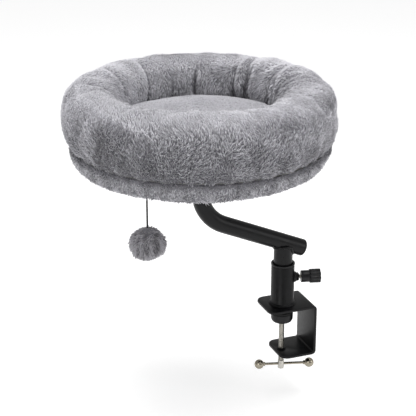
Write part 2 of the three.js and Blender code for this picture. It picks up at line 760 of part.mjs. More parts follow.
// A turned ball with a neck, pressed on one end of the bar
function barBall(name, side) {
  const bore = barDiameter / 2 + runningGap;
  const neck = barBallNeckDiameter / 2;
  const ball = barBallDiameter / 2;
  const neckAngle = THREE.MathUtils.radToDeg(Math.asin(neck / ball));
  const face = ball * Math.cos(Math.asin(neck / ball)) + barBallNeckLength;
  const seat = runningGap;
  const shape = turned([
    [0, seat], [bore, seat], [bore, -face], [neck, -face],
    ...arc(0, 0, ball, neckAngle - 90, 90, 9),
  ], smallSides);
  if (side < 0) shape.rotateY(Math.PI);
  shape.translate(0, 0, barShift + side * barBallSpacing / 2);
  return piece(name, alongBar(shape), nickelPlate());
}

// The knot at the pivot of the hanging toy
function toyKnot() {
  const radius = toyKnotDiameter / 2;
  const shape = turned(arc(0, 0, radius, -90, 90, 8), 12);
  return piece('toy_knot', shape.translate(0, 0, toyPivotHeight), blackCord());
}

const toyCordTop = toyPivotHeight - toyKnotDiameter / 2 - runningGap;
const toyCordEnd = toyCordTop - toyCordLength;

function toyCord() {
  const section = new THREE.Shape();
  section.absarc(0, 0, toyCordDiameter / 2, 0, 2 * Math.PI);
  const path = new THREE.LineCurve3(
    new THREE.Vector3(0, 0, toyCordTop), new THREE.Vector3(0, 0, toyCordEnd));
  const steps = Math.ceil(toyCordLength / (toyCordDiameter * 2.5));
  const tube = new THREE.ExtrudeGeometry(
    section, { steps, extrudePath: path, curveSegments: 4 });
  return piece('toy_cord', tube, blackCord());
}

// A fluffy ball, slightly lumpy, gathered at the cord
function pomPom() {
  const radius = pomPomDiameter / 2;
  const ball = turned(arc(0, 0, radius, -90, 90, 14), 24);
  const lumpy = swelled(ball, (angle, from, height) =>
    pomPomLump * Math.sin(5 * angle) * Math.cos((height / radius) * 4) * (from / radius));
  const centre = toyCordEnd - runningGap - radius;
  return piece('pom_pom', lumpy.translate(0, 0, centre), greyPlush());
}

// Each moving body is a group, set where its pieces are worked out from
function body(meshes, x = 0, y = 0) {
  const group = new THREE.Group();
  group.add(...meshes);
  group.position.set(x, y, 0);
  return group;
}

const fixings = screwPlaces().flatMap(([x, y], i) => [
  flangeScrew(i + 1, x, y), teeNut(i + 1, x, y)]);

const deskBed = new THREE.Group();
deskBed.name = 'cat_desk_bed';
deskBed.add(
  body([jawBracket(), mastSleeve(), thumbScrewNut(), clampBush()]),
  body([thumbScrewRod(), thumbKnob()]),
  body([sleeveCollar(), mastPost(), postFootPlug(), armTube(), armEndPlug()]),
  body([armFlange(), ...fixings, baseBoard(), baseFoam(), baseCover(), bolster(),
    seatCushion()], -bedOffset),
  body([padCup(), padRubber(), clampScrew()]),
  body([teeBar(), barBall('bar_ball_right', 1), barBall('bar_ball_left', -1)]),
  body([toyKnot(), toyCord(), pomPom()], toyX, toyY),
);

export default deskBed;
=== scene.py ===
# %% [markdown]
# # A round cat bed on a desk clamp
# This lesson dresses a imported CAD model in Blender. The bed is a stuffed plush ring round a
# flat cushion. It stands on a cranked steel tube, and a screw clamp holds the tube on the edge
# of a desk. The CAD gives every piece its place and size, so nothing is fitted by eye here.

# %% Load the frame
import math
import bpy
import numpy as np
from mathutils import Matrix, Vector


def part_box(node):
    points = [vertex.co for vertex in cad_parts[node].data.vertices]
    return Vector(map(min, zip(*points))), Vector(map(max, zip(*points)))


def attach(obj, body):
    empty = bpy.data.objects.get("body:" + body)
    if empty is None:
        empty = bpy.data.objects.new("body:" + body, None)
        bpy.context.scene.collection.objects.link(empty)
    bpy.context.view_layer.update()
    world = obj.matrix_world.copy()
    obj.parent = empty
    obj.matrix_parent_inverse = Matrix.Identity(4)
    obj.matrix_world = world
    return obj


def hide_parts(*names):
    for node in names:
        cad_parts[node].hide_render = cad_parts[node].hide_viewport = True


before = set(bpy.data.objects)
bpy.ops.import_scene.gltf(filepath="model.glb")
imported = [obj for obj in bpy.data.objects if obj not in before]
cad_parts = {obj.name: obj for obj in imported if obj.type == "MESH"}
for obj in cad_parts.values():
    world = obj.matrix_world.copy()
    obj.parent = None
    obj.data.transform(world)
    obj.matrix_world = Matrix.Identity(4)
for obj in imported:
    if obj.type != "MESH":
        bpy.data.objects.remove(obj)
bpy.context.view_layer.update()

MM = 0.001

# %% [markdown]
# ## Camera
# The camera stands about two metres away, a little above the bed and to its left. Its place and
# lens were worked out from the bed's ellipses and the clamp's corners, so that each piece lands
# where it shows. A long lens from far away keeps the ring from bulging at the edges.

# %% Camera
CAMERA_PLACE = Vector((-787.88, -1703.68, 896.98)) * MM
CAMERA_AIM = Vector((-102.85, 40.39, 155.14)) * MM
CAMERA_LENS = 120.24

camera_data = bpy.data.cameras.new("view_camera")
camera_data.lens = CAMERA_LENS
camera_data.sensor_width = 36
camera_data.clip_start, camera_data.clip_end = 0.05, 60
camera = bpy.data.objects.new("view_camera", camera_data)
bpy.context.scene.collection.objects.link(camera)
camera.location = CAMERA_PLACE
camera.rotation_euler = (CAMERA_AIM - CAMERA_PLACE).to_track_quat("-Z", "Y").to_euler()
bpy.context.scene.camera = camera
print("camera is", round((CAMERA_AIM - CAMERA_PLACE).length, 2), "m from its aim")

# %% [markdown]
# ## Colours and nodes
# Colours are written the way a paint chart gives them, as sRGB hex, while the shader works in
# linear light. One function turns the one into the other. A second one adds a node, sets its
# values and links it. The others colour, dull or bump a surface by a pattern whose size is given
# in millimetres. Each finished material is kept under the name of its slot.


# %% Helpers for materials
finishes = {}


def colour(hex_code):
    channels = [int(hex_code[i:i + 2], 16) / 255 for i in (1, 3, 5)]
    linear = [c / 12.92 if c <= 0.04045 else ((c + 0.055) / 1.055) ** 2.4 for c in channels]
    return (*linear, 1.0)


def add_node(tree, kind, values=None, **settings):
    node = tree.nodes.new(kind)
    for key, setting in settings.items():
        setattr(node, key, setting)
    for key, value in (values or {}).items():
        if isinstance(value, bpy.types.NodeSocket):
            tree.links.new(value, node.inputs[key])
        else:
            node.inputs[key].default_value = value
    return node


def new_material(name, **numbers):
    """A Principled material with its plain numbers set, its tree, shader and coordinates."""
    material = bpy.data.materials.new(name)
    material.use_nodes = True
    tree = material.node_tree
    shader = tree.nodes["Principled BSDF"]
    for key, value in numbers.items():
        shader.inputs[key.replace("_", " ")].default_value = value
    place = add_node(tree, "ShaderNodeTexCoord").outputs["Object"]
    return material, tree, shader, place


def pattern(tree, kind, at, size, **numbers):
    """A texture whose features are this many millimetres apart."""
    return add_node(tree, "ShaderNodeTex" + kind, {
        "Vector": at, "Scale": 1 / (size * MM), **numbers})


def two_tone(tree, shader, value, dark, light, start=0.0, end=1.0):
    """Colours the shader from dark to light while a value runs from start to end."""
    tone = add_node(tree, "ShaderNodeValToRGB", {"Fac": value})
    for stop, share, code in zip(tone.color_ramp.elements, (start, end), (dark, light)):
        stop.position, stop.color = share, colour(code)
    tree.links.new(tone.outputs["Color"], shader.inputs["Base Color"])


def uneven_gloss(tree, shader, value, low, high, start=0.0, end=1.0):
    """Runs the shader's roughness from low to high while a value runs from start to end."""
    gloss = add_node(tree, "ShaderNodeMapRange", {
        "Value": value, "From Min": start, "From Max": end, "To Min": low, "To Max": high})
    tree.links.new(gloss.outputs["Result"], shader.inputs["Roughness"])


def relief(tree, shader, height, strength, lift):
    """Bumps the surface with a height, by up to a lift in millimetres."""
    bump = add_node(tree, "ShaderNodeBump", {
        "Height": height, "Strength": strength, "Distance": lift * MM})
    tree.links.new(bump.outputs["Normal"], shader.inputs["Normal"])


# %% [markdown]
# ## Helpers for modelling
# Most of the metal and plastic pieces are round. By hand such a piece is a circle that is
# extruded upwards ring by ring, and each new ring is scaled to its radius. The helpers below do
# that, drill and bevel, and the last one hands the piece to the CAD body that carries it.


# %% Helpers for modelling
def start_piece(*pieces):
    """Leaves edit mode and selects these pieces alone, because an operator acts on them."""
    if bpy.context.object and bpy.context.object.mode != "OBJECT":
        bpy.ops.object.mode_set(mode="OBJECT")
    bpy.ops.object.select_all(action="DESELECT")
    bpy.context.tool_settings.mesh_select_mode = (True, False, False)
    for piece in pieces:
        piece.select_set(True)
        bpy.context.view_layer.objects.active = pieces[0]


def edit_all():
    """Enters edit mode with everything selected."""
    bpy.ops.object.mode_set(mode="EDIT")
    bpy.ops.mesh.select_all(action="SELECT")


def close_mesh():
    """Merges what meets, turns the faces outwards and leaves edit mode."""
    bpy.ops.mesh.select_all(action="SELECT")
    bpy.ops.mesh.remove_doubles(threshold=1e-6)
    bpy.ops.mesh.normals_make_consistent(inside=False)
    bpy.ops.object.mode_set(mode="OBJECT")


def turned(rings, sides=64, closed_loop=False, filled=True):
    """Extrudes and scales a circle through rings of (radius, height) in millimetres. A closed
    loop comes back to its first ring, as the wall of a pipe does."""
    start_piece()
    radius, height = rings[0]
    bpy.ops.mesh.primitive_circle_add(
        vertices=sides, radius=radius * MM, location=(0, 0, height * MM),
        fill_type="NGON" if filled and not closed_loop else "NOTHING")
    piece = bpy.context.object
    edit_all()
    stops = rings[1:] + (rings[:1] if closed_loop else [])
    for next_radius, next_height in stops:
        bpy.ops.mesh.extrude_region_move(
            TRANSFORM_OT_translate={"value": (0, 0, (next_height - height) * MM)})
        share = next_radius / radius
        bpy.ops.transform.resize(
            value=(share, share, 1), center_override=(0, 0, next_height * MM))
        radius, height = next_radius, next_height
    close_mesh()
    return piece


def rounded(rings, corner=0.5, steps=3):
    """Rounds every corner of a ring profile, as a lathe tool or a mould does."""
    soft = [rings[0]]
    for before, here, after in zip(rings, rings[1:], rings[2:]):
        near, far = math.dist(before, here), math.dist(here, after)
        cut = min(corner, near * 0.45, far * 0.45)
        a = [h + (b - h) * cut / near for h, b in zip(here, before)]
        b = [h + (c - h) * cut / far for h, c in zip(here, after)]
        for i in range(steps + 1):
            t = i / steps
            soft.append(tuple((1 - t) ** 2 * p + 2 * t * (1 - t) * h + t * t * q
                              for p, h, q in zip(a, here, b)))
    return soft + [rings[-1]]


def ball_rings(radius, centre, from_degrees, to_degrees, steps):
    """Rings along an arc of a ball, upwards."""
    angles = [math.radians(from_degrees + (to_degrees - from_degrees) * i / steps)
              for i in range(steps + 1)]
    return [(radius * math.cos(a), centre + radius * math.sin(a)) for a in angles]


def use_modifier(piece, kind, **settings):
    """Adds a modifier with its settings and applies it at once."""
    start_piece(piece)
    modifier = piece.modifiers.new(kind.lower(), kind)
    for key, value in settings.items():
        setattr(modifier, key, value)
    bpy.ops.object.modifier_apply(modifier=modifier.name)


def combine(piece, other, operation):
    """Cuts, joins or keeps with another closed shape, which is then deleted."""
    use_modifier(piece, "BOOLEAN", operation=operation, object=other, solver="EXACT")
    bpy.data.objects.remove(other, do_unlink=True)


def place(piece, matrix):
    """Turns and moves a piece, and applies that to its mesh."""
    start_piece(piece)
    piece.matrix_basis = matrix @ piece.matrix_basis
    bpy.ops.object.transform_apply(location=True, rotation=True, scale=True)
    return piece


def lying(height, turn=0.0, tilt=math.pi / 2):
    """The place of a piece that is modelled upright and lies along an axis at a height."""
    return (Matrix.Translation((0, 0, height * MM))
            @ Matrix.Rotation(turn, 4, "Z") @ Matrix.Rotation(tilt, 4, "Y"))


def drill(piece, radius, bottom, top, sides=48, matrix=Matrix()):
    """Cuts a straight hole between two heights, or a socket where the sides are six."""
    combine(piece, place(turned([(radius, bottom), (radius, top)], sides), matrix), "DIFFERENCE")


def soften(piece, width, segments, degrees):
    """Bevels the edges that are sharper than an angle."""
    use_modifier(piece, "BEVEL", width=width * MM, segments=segments, limit_method="ANGLE",
                 angle_limit=math.radians(degrees))


def join_pieces(pieces):
    """Joins shapes that are one piece on the real object."""
    start_piece(*pieces)
    bpy.ops.object.join()
    return bpy.context.object


def hand_over(piece, name, body, slot, nodes=(), smooth=35):
    """Names a finished piece, dresses it and sets it on its CAD body in place of its nodes."""
    place(piece, Matrix())
    bpy.ops.object.shade_smooth_by_angle(angle=math.radians(smooth))
    piece.name = piece.data.name = name
    piece.data.materials.clear()
    piece.data.materials.append(finishes[slot])
    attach(piece, body)
    if nodes:
        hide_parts(*nodes)
    print(name, "rides on", body, "with", len(piece.data.polygons), "faces")
    return piece


# %% [markdown]
# ## Toy cord
# A black round cord, 2 mm thick, hangs from a knot under the bed and holds the fluffy ball. It is
# drawn 2.6 mm thick, because a white floor eats into so thin a dark line. Its whole 48 mm show,
# so that is its length. It hangs straight because the ball pulls it taut. A cord could be a
# curve with a round bevel. Here it is three fine strands twisted about one another, each a
# curve, because a single smooth rod would look like wire.

# %% Toy cord
BED_X = -130.4
TOY_REACH, TOY_TURN = 146.97, math.radians(-139.526)
TOY_X, TOY_Y = BED_X + TOY_REACH * math.cos(TOY_TURN), TOY_REACH * math.sin(TOY_TURN)
TOY_CORD_TOP, TOY_CORD_LENGTH, TOY_CORD_WIDTH = 245.0, 47.6, 2.6
STRANDS, STRAND_TWIST, STRAND_STEPS = 3, 4.5, 96
STRAND_SHARE = 0.6  # a strand's thickness, as a share of the cord's

finishes["black_cord"], tree, shader, at = new_material(
    "polyester_cord_twisted", Roughness=0.75, Specular_IOR_Level=0.2)
stretched = add_node(tree, "ShaderNodeMapping", {"Vector": at, "Scale": (1, 1, 0.2)})
fibres = pattern(tree, "Noise", stretched.outputs[0], 0.35, Detail=3.0)
two_tone(tree, shader, fibres.outputs["Fac"], "#070708", "#161618")


def round_curve(name, points, radius, widths=None, sides=6):
    """A mesh tube along points in millimetres."""
    curve = bpy.data.curves.new(name, "CURVE")
    curve.dimensions = "3D"
    curve.bevel_depth = radius * MM
    curve.bevel_resolution = sides // 2 - 1
    curve.use_fill_caps = True
    spline = curve.splines.new("POLY")
    spline.points.add(len(points) - 1)
    for i, point in enumerate(points):
        spline.points[i].co = (*[c * MM for c in point], 1)
        spline.points[i].radius = widths[i] if widths else 1
    piece = bpy.data.objects.new(name, curve)
    bpy.context.scene.collection.objects.link(piece)
    start_piece(piece)
    bpy.ops.object.convert(target="MESH")
    return bpy.context.object


def strand_line(strand):
    """The helix of one strand."""
    line, off = [], TOY_CORD_WIDTH / 2 * (1 - STRAND_SHARE)
    for i in range(STRAND_STEPS + 1):
        drop = TOY_CORD_LENGTH * i / STRAND_STEPS
        turn = 2 * math.pi * (drop / STRAND_TWIST + strand / STRANDS)
        line.append((TOY_X + off * math.cos(turn), TOY_Y + off * math.sin(turn),
                     TOY_CORD_TOP - drop))
    return line


strands = [round_curve("strand", strand_line(i), TOY_CORD_WIDTH / 2 * STRAND_SHARE)
           for i in range(STRANDS)]
toy_cord = hand_over(
    join_pieces(strands), "twisted_toy_cord", "toy", "black_cord", ["toy_cord"], 180)

# %% [markdown]
# ## Light and floor
# A big soft lamp above and the pale sky round the object give the plain light of a shop photo.
# The background stays white for camera rays, so the object gets no extra light from it, but the
# floor also glows for glossy rays, so the metals mirror a glowing floor.
# The floor keeps a faint shadow. It lies low enough for the clamp's bar when the screw is let
# down all the way.

# %% Light and floor
FLOOR_HEIGHT, FLOOR_SIZE, FLOOR_GLOW = -154.0, 14.0, 0.42
SKY_LIGHT = 0.5


def seen_by(tree, *kinds):
    """1 for rays of these two kinds and 0 for all others."""
    rays = add_node(tree, "ShaderNodeLightPath")
    values = {i: rays.outputs[f"Is {kind} Ray"] for i, kind in enumerate(kinds)}
    return add_node(tree, "ShaderNodeMath", values, operation="MAXIMUM").outputs[0]


bpy.context.scene.view_settings.view_transform = "Standard"
world = bpy.data.worlds.new("studio_air")
bpy.context.scene.world = world
world.use_nodes = True
sky = world.node_tree
sky_shader = sky.nodes["Background"]
sky_shader.inputs["Color"].default_value = (1, 1, 1, 1)
strength = add_node(sky, "ShaderNodeMix", {
    "Factor": seen_by(sky, "Camera", "Transmission"), "A": SKY_LIGHT, "B": 1.0},
    data_type="FLOAT")
sky.links.new(strength.outputs["Result"], sky_shader.inputs["Strength"])


def soft_lamp(name, place_at, aim_at, size, watts):
    light = bpy.data.lights.new(name, "AREA")
    light.shape, light.size, light.energy = "SQUARE", size, watts
    lamp = bpy.data.objects.new(name, light)
    bpy.context.scene.collection.objects.link(lamp)
    lamp.location = place_at
    lamp.rotation_euler = (Vector(aim_at) - Vector(place_at)).to_track_quat("-Z", "Y").to_euler()
    print(name, "gives", watts, "W")


soft_lamp("ceiling_softbox", (-0.2, -0.25, 1.9), (BED_X * MM, 0, 0.3), 1.3, 26)
soft_lamp("left_softbox", (-1.7, -1.5, 0.9), (-0.05, 0, 0.15), 1.2, 9.5)
soft_lamp("right_softbox", (1.5, -1.3, 0.8), (0.0, 0, 0.1), 1.0, 8)

start_piece()
bpy.ops.mesh.primitive_plane_add(size=FLOOR_SIZE, location=(0, 0, FLOOR_HEIGHT * MM))
floor = bpy.context.object
floor.name = "pale_floor"
pale_floor, tree, shader, at = new_material("matte_studio_floor", Roughness=0.9)
shader.inputs["Base Color"].default_value = colour("#f4f4f4")
shader.inputs["Emission Color"].default_value = (1, 1, 1, 1)
# The floor glows for camera rays and for glossy rays, so it also glows in the metals'
# reflections.
lift = add_node(tree, "ShaderNodeMath", {0: seen_by(tree, "Camera", "Glossy"), 1: FLOOR_GLOW},
                operation="MULTIPLY")
tree.links.new(lift.outputs[0], shader.inputs["Emission Strength"])
floor.data.materials.append(pale_floor)

# %% [markdown]
# ## Powder-coated steel
# The clamp, sleeve, post and arm are mild steel, sprayed with black powder and baked. The
# powder melts into a skin with a fine orange peel, which breaks the highlights into a satin
# sheen. Two noises do that: one varies the roughness and the other lifts the surface a little.


# %% Powder coat
def skin_material(name, dark, light, grain, grain_lift, rough_from, rough_to, **numbers):
    """A hard skin with speckled colour, uneven gloss and a fine grain."""
    material, tree, shader, at = new_material(name, **numbers)
    speckle = pattern(tree, "Noise", at, grain * 6, Detail=4.0, Roughness=0.6).outputs["Fac"]
    two_tone(tree, shader, speckle, dark, light, 0.35, 0.68)
    uneven_gloss(tree, shader, speckle, rough_from, rough_to, 0.3, 0.7)
    peel = pattern(tree, "Noise", at, grain, Detail=2.0)
    relief(tree, shader, peel.outputs["Fac"], 0.5, grain_lift)
    return material


finishes["powder_coat"] = skin_material(
    "powder_coated_mild_steel", "#0b0b0c", "#121214", 1.1, 0.06, 0.27, 0.38,
    Specular_IOR_Level=0.18)
finishes["black_plastic"] = skin_material(
    "moulded_polypropylene", "#0a0a0b", "#101013", 0.8, 0.05, 0.26, 0.38,
    Specular_IOR_Level=0.26)
finishes["black_rubber"] = skin_material(
    "moulded_nitrile_rubber", "#131313", "#1e1e1e", 1.4, 0.08, 0.75, 0.9,
    Specular_IOR_Level=0.3)
print("finishes", ", ".join(finishes))

# %% [markdown]
# ## Bright plating
# The clamp screw and the thumb screw are zinc plated, which leaves a pale, slightly cloudy
# metal. The sliding bar and its balls are polished and nickel plated, so they mirror the room
# with a warm tint. A metal's colour is its reflection, so it is metallic and keeps its IOR.


# %% Plating
def plated_metal(name, dark, light, cloud, rough_from, rough_to):
    """A bright metal whose tone and gloss vary in soft clouds."""
    material, tree, shader, at = new_material(name, Metallic=1.0)
    clouds = pattern(tree, "Noise", at, cloud, Detail=5.0, Roughness=0.65).outputs["Fac"]
    two_tone(tree, shader, clouds, dark, light, 0.3, 0.7)
    uneven_gloss(tree, shader, clouds, rough_from, rough_to, 0.25, 0.75)
    return material


finishes["zinc_steel"] = plated_metal(
    "zinc_plated_steel", "#a2a09b", "#cdcac3", 5.0, 0.22, 0.36)
finishes["nickel_plate"] = plated_metal(
    "nickel_plated_polished_steel", "#8a8476", "#aea798", 7.0, 0.07, 0.18)
print("finishes", ", ".join(finishes))

# %% [markdown]
# ## Clamp bracket
# The bracket is one flat bar, 60 by 4 mm, bent twice in a press. By hand that is the bar's
# cross-section, extruded along each straight and spun round each bend, which gives the true
# inner and outer radius. The jaws' corners are then rounded, as the blank's were in the press.

# %% Clamp bracket
JAW_WIDTH, JAW_THICKNESS, BRACKET_HEIGHT = 60.0, 4.0, 80.0
WEB_REACH, TOP_JAW_LENGTH, BOTTOM_JAW_LENGTH = 43.5, 75.0, 55.0
BEND_RADIUS, BEND_STEPS, JAW_CORNER_RADIUS, BUSH_HOLE_RADIUS = 6.0, 10, 13.0, 5.55
LOWER_JAW_TOP = JAW_THICKNESS * 2 - BRACKET_HEIGHT


def push(offset):
    bpy.ops.mesh.extrude_region_move(
        TRANSFORM_OT_translate={"value": [c * MM for c in offset]})


def bend(centre, axis, degrees, steps):
    """Spins the selection. The operator counts its angle the other way round."""
    bpy.ops.mesh.spin(steps=steps, angle=-math.radians(degrees),
                      center=[c * MM for c in centre], axis=axis)


def select_edges(piece, test):
    """In edit mode, selects the edges whose two ends pass the test."""
    bpy.ops.object.mode_set(mode="OBJECT")
    mesh = piece.data
    for group in (mesh.vertices, mesh.edges, mesh.polygons):
        group.foreach_set("select", [False] * len(group))
    for edge in mesh.edges:
        if test(*[mesh.vertices[i].co / MM for i in edge.vertices]):
            edge.select = True
            for i in edge.vertices:
                mesh.vertices[i].select = True
    bpy.context.tool_settings.mesh_select_mode = (False, True, False)
    bpy.ops.object.mode_set(mode="EDIT")


start_piece()
bpy.ops.mesh.primitive_plane_add(size=1)
bracket = bpy.context.object
bracket.scale = (JAW_THICKNESS * MM, JAW_WIDTH * MM, 1)
bracket.rotation_euler = (0, math.pi / 2, 0)
bracket.location = ((WEB_REACH - TOP_JAW_LENGTH) * MM, 0, JAW_THICKNESS / 2 * MM)
bpy.ops.object.transform_apply(location=True, rotation=True, scale=True)
edit_all()
bend_x, upper_bend = WEB_REACH - BEND_RADIUS, JAW_THICKNESS - BEND_RADIUS
lower_bend = JAW_THICKNESS - BRACKET_HEIGHT + BEND_RADIUS
push((TOP_JAW_LENGTH - BEND_RADIUS, 0, 0))
bend((bend_x, 0, upper_bend), (0, 1, 0), 90, BEND_STEPS)
push((0, 0, lower_bend - upper_bend))
bend((bend_x, 0, lower_bend), (0, 1, 0), 90, BEND_STEPS)
push((BEND_RADIUS - BOTTOM_JAW_LENGTH, 0, 0))
close_mesh()


def is_jaw_corner(a, b):
    upright = abs(a.z - b.z) > JAW_THICKNESS / 2 and abs(a.x - b.x) < 0.01
    return upright and abs(abs(a.y) - JAW_WIDTH / 2) < 0.01 and a.x < -10


select_edges(bracket, is_jaw_corner)
bpy.ops.mesh.bevel(offset=JAW_CORNER_RADIUS * MM, segments=10, affect="EDGES")
bpy.ops.object.mode_set(mode="OBJECT")
drill(bracket, BUSH_HOLE_RADIUS, LOWER_JAW_TOP - 10, LOWER_JAW_TOP + 6)
soften(bracket, 0.7, 3, 40)
hand_over(bracket, "bent_clamp_bracket", "clamp", "powder_coat", ["jaw_bracket"])

# %% [markdown]
# ## Sleeve
# The sleeve is a steel tube, 34.5 mm across, welded upright on the top jaw. A weld isn't a smooth
# fillet: the torch leaves small overlapping scales. The pipe's wall is turned as one closed
# loop with a fillet at its foot, and the fillet's vertices are then pushed in and out in scales.

# %% Sleeve
SLEEVE_RADIUS, SLEEVE_BORE, SLEEVE_FOOT, SLEEVE_TOP = 17.25, 15.75, 4.3, 66.0
THUMB_HEIGHT, THUMB_TURN = 45.2, math.radians(-15)
THUMB_SCREW_RADIUS, THUMB_SCREW_PITCH, THUMB_HOLE_RADIUS = 3.0, 1.0, 3.4
THUMB_AXIS = lying(THUMB_HEIGHT, THUMB_TURN)


def weld_scales(piece, count, lift, test):
    """Pushes the chosen vertices in and out along the radius, like the scales of a weld."""
    for vertex in piece.data.vertices:
        x, y, z = vertex.co / MM + Vector(piece.location) / MM
        radius, angle = math.hypot(x, y), math.atan2(y, x)
        if test(radius, z):
            ripple = lift * (abs(math.sin(angle * count / 2)) - 0.6 + 0.3 * math.sin(angle * 5))
            vertex.co.x *= 1 + ripple / radius
            vertex.co.y *= 1 + ripple / radius


sleeve_wall = [
    (SLEEVE_BORE, SLEEVE_FOOT), (19.5, SLEEVE_FOOT), (19.7, 4.9), (19.2, 5.8), (18.3, 6.6),
    (17.6, 7.0), (SLEEVE_RADIUS, 7.6), (SLEEVE_RADIUS, 65.3), (17.05, 65.8), (16.75, SLEEVE_TOP),
    (16.05, SLEEVE_TOP), (SLEEVE_BORE, 65.7)]
sleeve = turned(sleeve_wall, 144, closed_loop=True)
weld_scales(sleeve, 60, 0.7, lambda radius, z: radius > 17.5 and z > SLEEVE_FOOT + 0.2)
drill(sleeve, THUMB_HOLE_RADIUS, 0, 20, 32, THUMB_AXIS)
hand_over(sleeve, "welded_mast_sleeve", "clamp", "powder_coat", ["mast_sleeve"], 50)

# %% [markdown]
# ## Thumb screw
# A hexagonal nut is welded over a hole in the sleeve, and a plastic knob on a threaded rod locks
# the post through it. The nut is a six-sided circle, extruded and chamfered. The thread is one
# tooth's outline swept by a Screw modifier, once for each turn, and cut square at both ends.


# %% Threads
def threaded_rod(radius, pitch, bottom, top, steps=24):
    """A rod with a true helical thread between two heights, cut flat at both ends."""
    start_piece()
    depth = pitch * 0.55
    outline = [(radius - depth, 0), (radius - depth, pitch * 0.12), (radius, pitch * 0.48),
               (radius, pitch * 0.6), (radius - depth, pitch * 0.96), (radius - depth, pitch)]
    bpy.ops.mesh.primitive_plane_add(size=0.001)
    piece = bpy.context.object
    edit_all()
    bpy.ops.mesh.merge(type="CENTER")
    bpy.ops.transform.translate(value=(outline[0][0] * MM, 0, (bottom - 2 * pitch) * MM))
    for (x0, z0), (x1, z1) in zip(outline, outline[1:]):
        bpy.ops.mesh.extrude_vertices_move(
            TRANSFORM_OT_translate={"value": ((x1 - x0) * MM, 0, (z1 - z0) * MM)})
    bpy.ops.object.mode_set(mode="OBJECT")
    turns = math.ceil((top - bottom) / pitch) + 3
    use_modifier(piece, "SCREW", axis="Z", angle=2 * math.pi, screw_offset=pitch * MM,
                 iterations=turns, steps=steps, render_steps=steps, use_smooth_shade=False)
    edit_all()
    bpy.ops.mesh.remove_doubles(threshold=1e-6)
    for height, outer in ((top, True), (bottom, False)):
        bpy.ops.mesh.select_all(action="SELECT")
        bpy.ops.mesh.bisect(plane_co=(0, 0, height * MM), plane_no=(0, 0, 1), use_fill=True,
                            clear_outer=outer, clear_inner=not outer, threshold=1e-6)
    bpy.ops.mesh.select_all(action="SELECT")
    bpy.ops.mesh.normals_make_consistent(inside=False)
    bpy.ops.object.mode_set(mode="OBJECT")
    return piece


# %% Thumb screw nut and rod
NUT_REACH, NUT_FLATS = 24.0, 10.8
KNOB_HUB_REACH, KNOB_HUB_RADIUS, KNOB_HUB_LENGTH = 27.1, 8.9, 12.9
KNOB_HEAD_RADIUS, KNOB_HEAD_LENGTH, KNOB_LOBES, KNOB_GROOVE = 10.8, 16.2, 8, 1.5

hex_radius = NUT_FLATS / math.sqrt(3)
nut = turned([(hex_radius, 16.0), (hex_radius, NUT_REACH - 0.9),
              (hex_radius - 1.0, NUT_REACH)], 6)
nut_weld = turned([(8.0, 16.0), (8.0, 17.8), (7.3, 19.2), (6.3, 20.4), (5.6, 21.1)], 72)
weld_scales(nut_weld, 26, 0.5, lambda radius, z: z > 16.2)
combine(nut, nut_weld, "UNION")
drill(nut, THUMB_HOLE_RADIUS - 0.05, 10, 30, 32)
nut = place(nut, THUMB_AXIS)
drill(nut, SLEEVE_RADIUS + 0.25, 20, 70, 96)
hand_over(nut, "welded_hex_nut", "clamp", "powder_coat", ["thumb_screw_nut"], 30)

thumb_rod = threaded_rod(THUMB_SCREW_RADIUS, THUMB_SCREW_PITCH, 15.7, KNOB_HUB_REACH + 8.6)
thumb_tip = turned([(1.9, 14.3), (2.3, 14.7), (2.3, 15.7)], 32)
thumb_rod = place(join_pieces([thumb_rod, thumb_tip]), THUMB_AXIS)
hand_over(thumb_rod, "threaded_thumb_rod", "thumb_rod", "zinc_steel", ["thumb_screw_rod"])

# %% [markdown]
# ## Knob
# The knob is moulded polypropylene: a plain hub and a wider head with eight finger grooves. The
# head starts as a circle of many vertices. Those that lie in a groove are drawn in, and the
# outline is extruded, so that the grooves run straight and the rims get one even bevel.

# %% Knob
head_start = KNOB_HUB_REACH + KNOB_HUB_LENGTH
knob_head = turned([(KNOB_HEAD_RADIUS, head_start),
                    (KNOB_HEAD_RADIUS, head_start + KNOB_HEAD_LENGTH)], 128)
for vertex in knob_head.data.vertices:
    angle = math.atan2(vertex.co.y, vertex.co.x)
    dip = KNOB_GROOVE * abs(math.sin(angle * KNOB_LOBES / 2)) ** 5
    vertex.co.x *= 1 - dip / KNOB_HEAD_RADIUS
    vertex.co.y *= 1 - dip / KNOB_HEAD_RADIUS
soften(knob_head, 1.5, 4, 60)
knob_hub = turned(rounded([
    (3.4, KNOB_HUB_REACH + 8.9), (3.4, KNOB_HUB_REACH), (KNOB_HUB_RADIUS, KNOB_HUB_REACH),
    (KNOB_HUB_RADIUS, head_start + 0.6), (6.0, head_start + 0.6)], 0.8), 96)
knob = place(join_pieces([knob_head, knob_hub]), THUMB_AXIS)
hand_over(knob, "moulded_thumb_knob", "thumb_knob", "black_plastic", ["thumb_knob"], 40)

# %% [markdown]
# ## Collar, post and arm
# A plastic collar in the sleeve's mouth guides the post. The post's top is cut to a saddle that
# fits the arm, and a weld bead runs round the joint. The arm is drawn the way a bender makes
# it: one ring of tube wall is extruded down, spun about the bend's centre and extruded on.

# %% Collar and post
POST_RADIUS, POST_BORE, POST_FOOT, POST_TOP = 14.0, 12.5, 17.6, 97.7
ARM_RADIUS, ARM_BORE, ARM_CROSSING = 12.5, 11.0, 101.7
ARM_SLOPE, ARM_TAIL, ARM_BEND = math.radians(23.8), 31.5, 60.0
ARM_TOP = 246.1
ARM_AXIS = lying(ARM_CROSSING, tilt=math.pi / 2 + ARM_SLOPE)

collar_wall = rounded([
    (14.35, 60.0), (14.35, 54.0), (15.45, 54.0), (15.45, 66.3), (17.7, 66.3), (17.7, 69.1),
    (15.6, 69.1), (14.8, 68.2), (14.35, 67.0), (14.35, 61.0)], 0.5)
collar = turned(collar_wall, 96, closed_loop=True)
hand_over(collar, "moulded_sleeve_collar", "collar", "black_plastic", ["sleeve_collar"], 40)

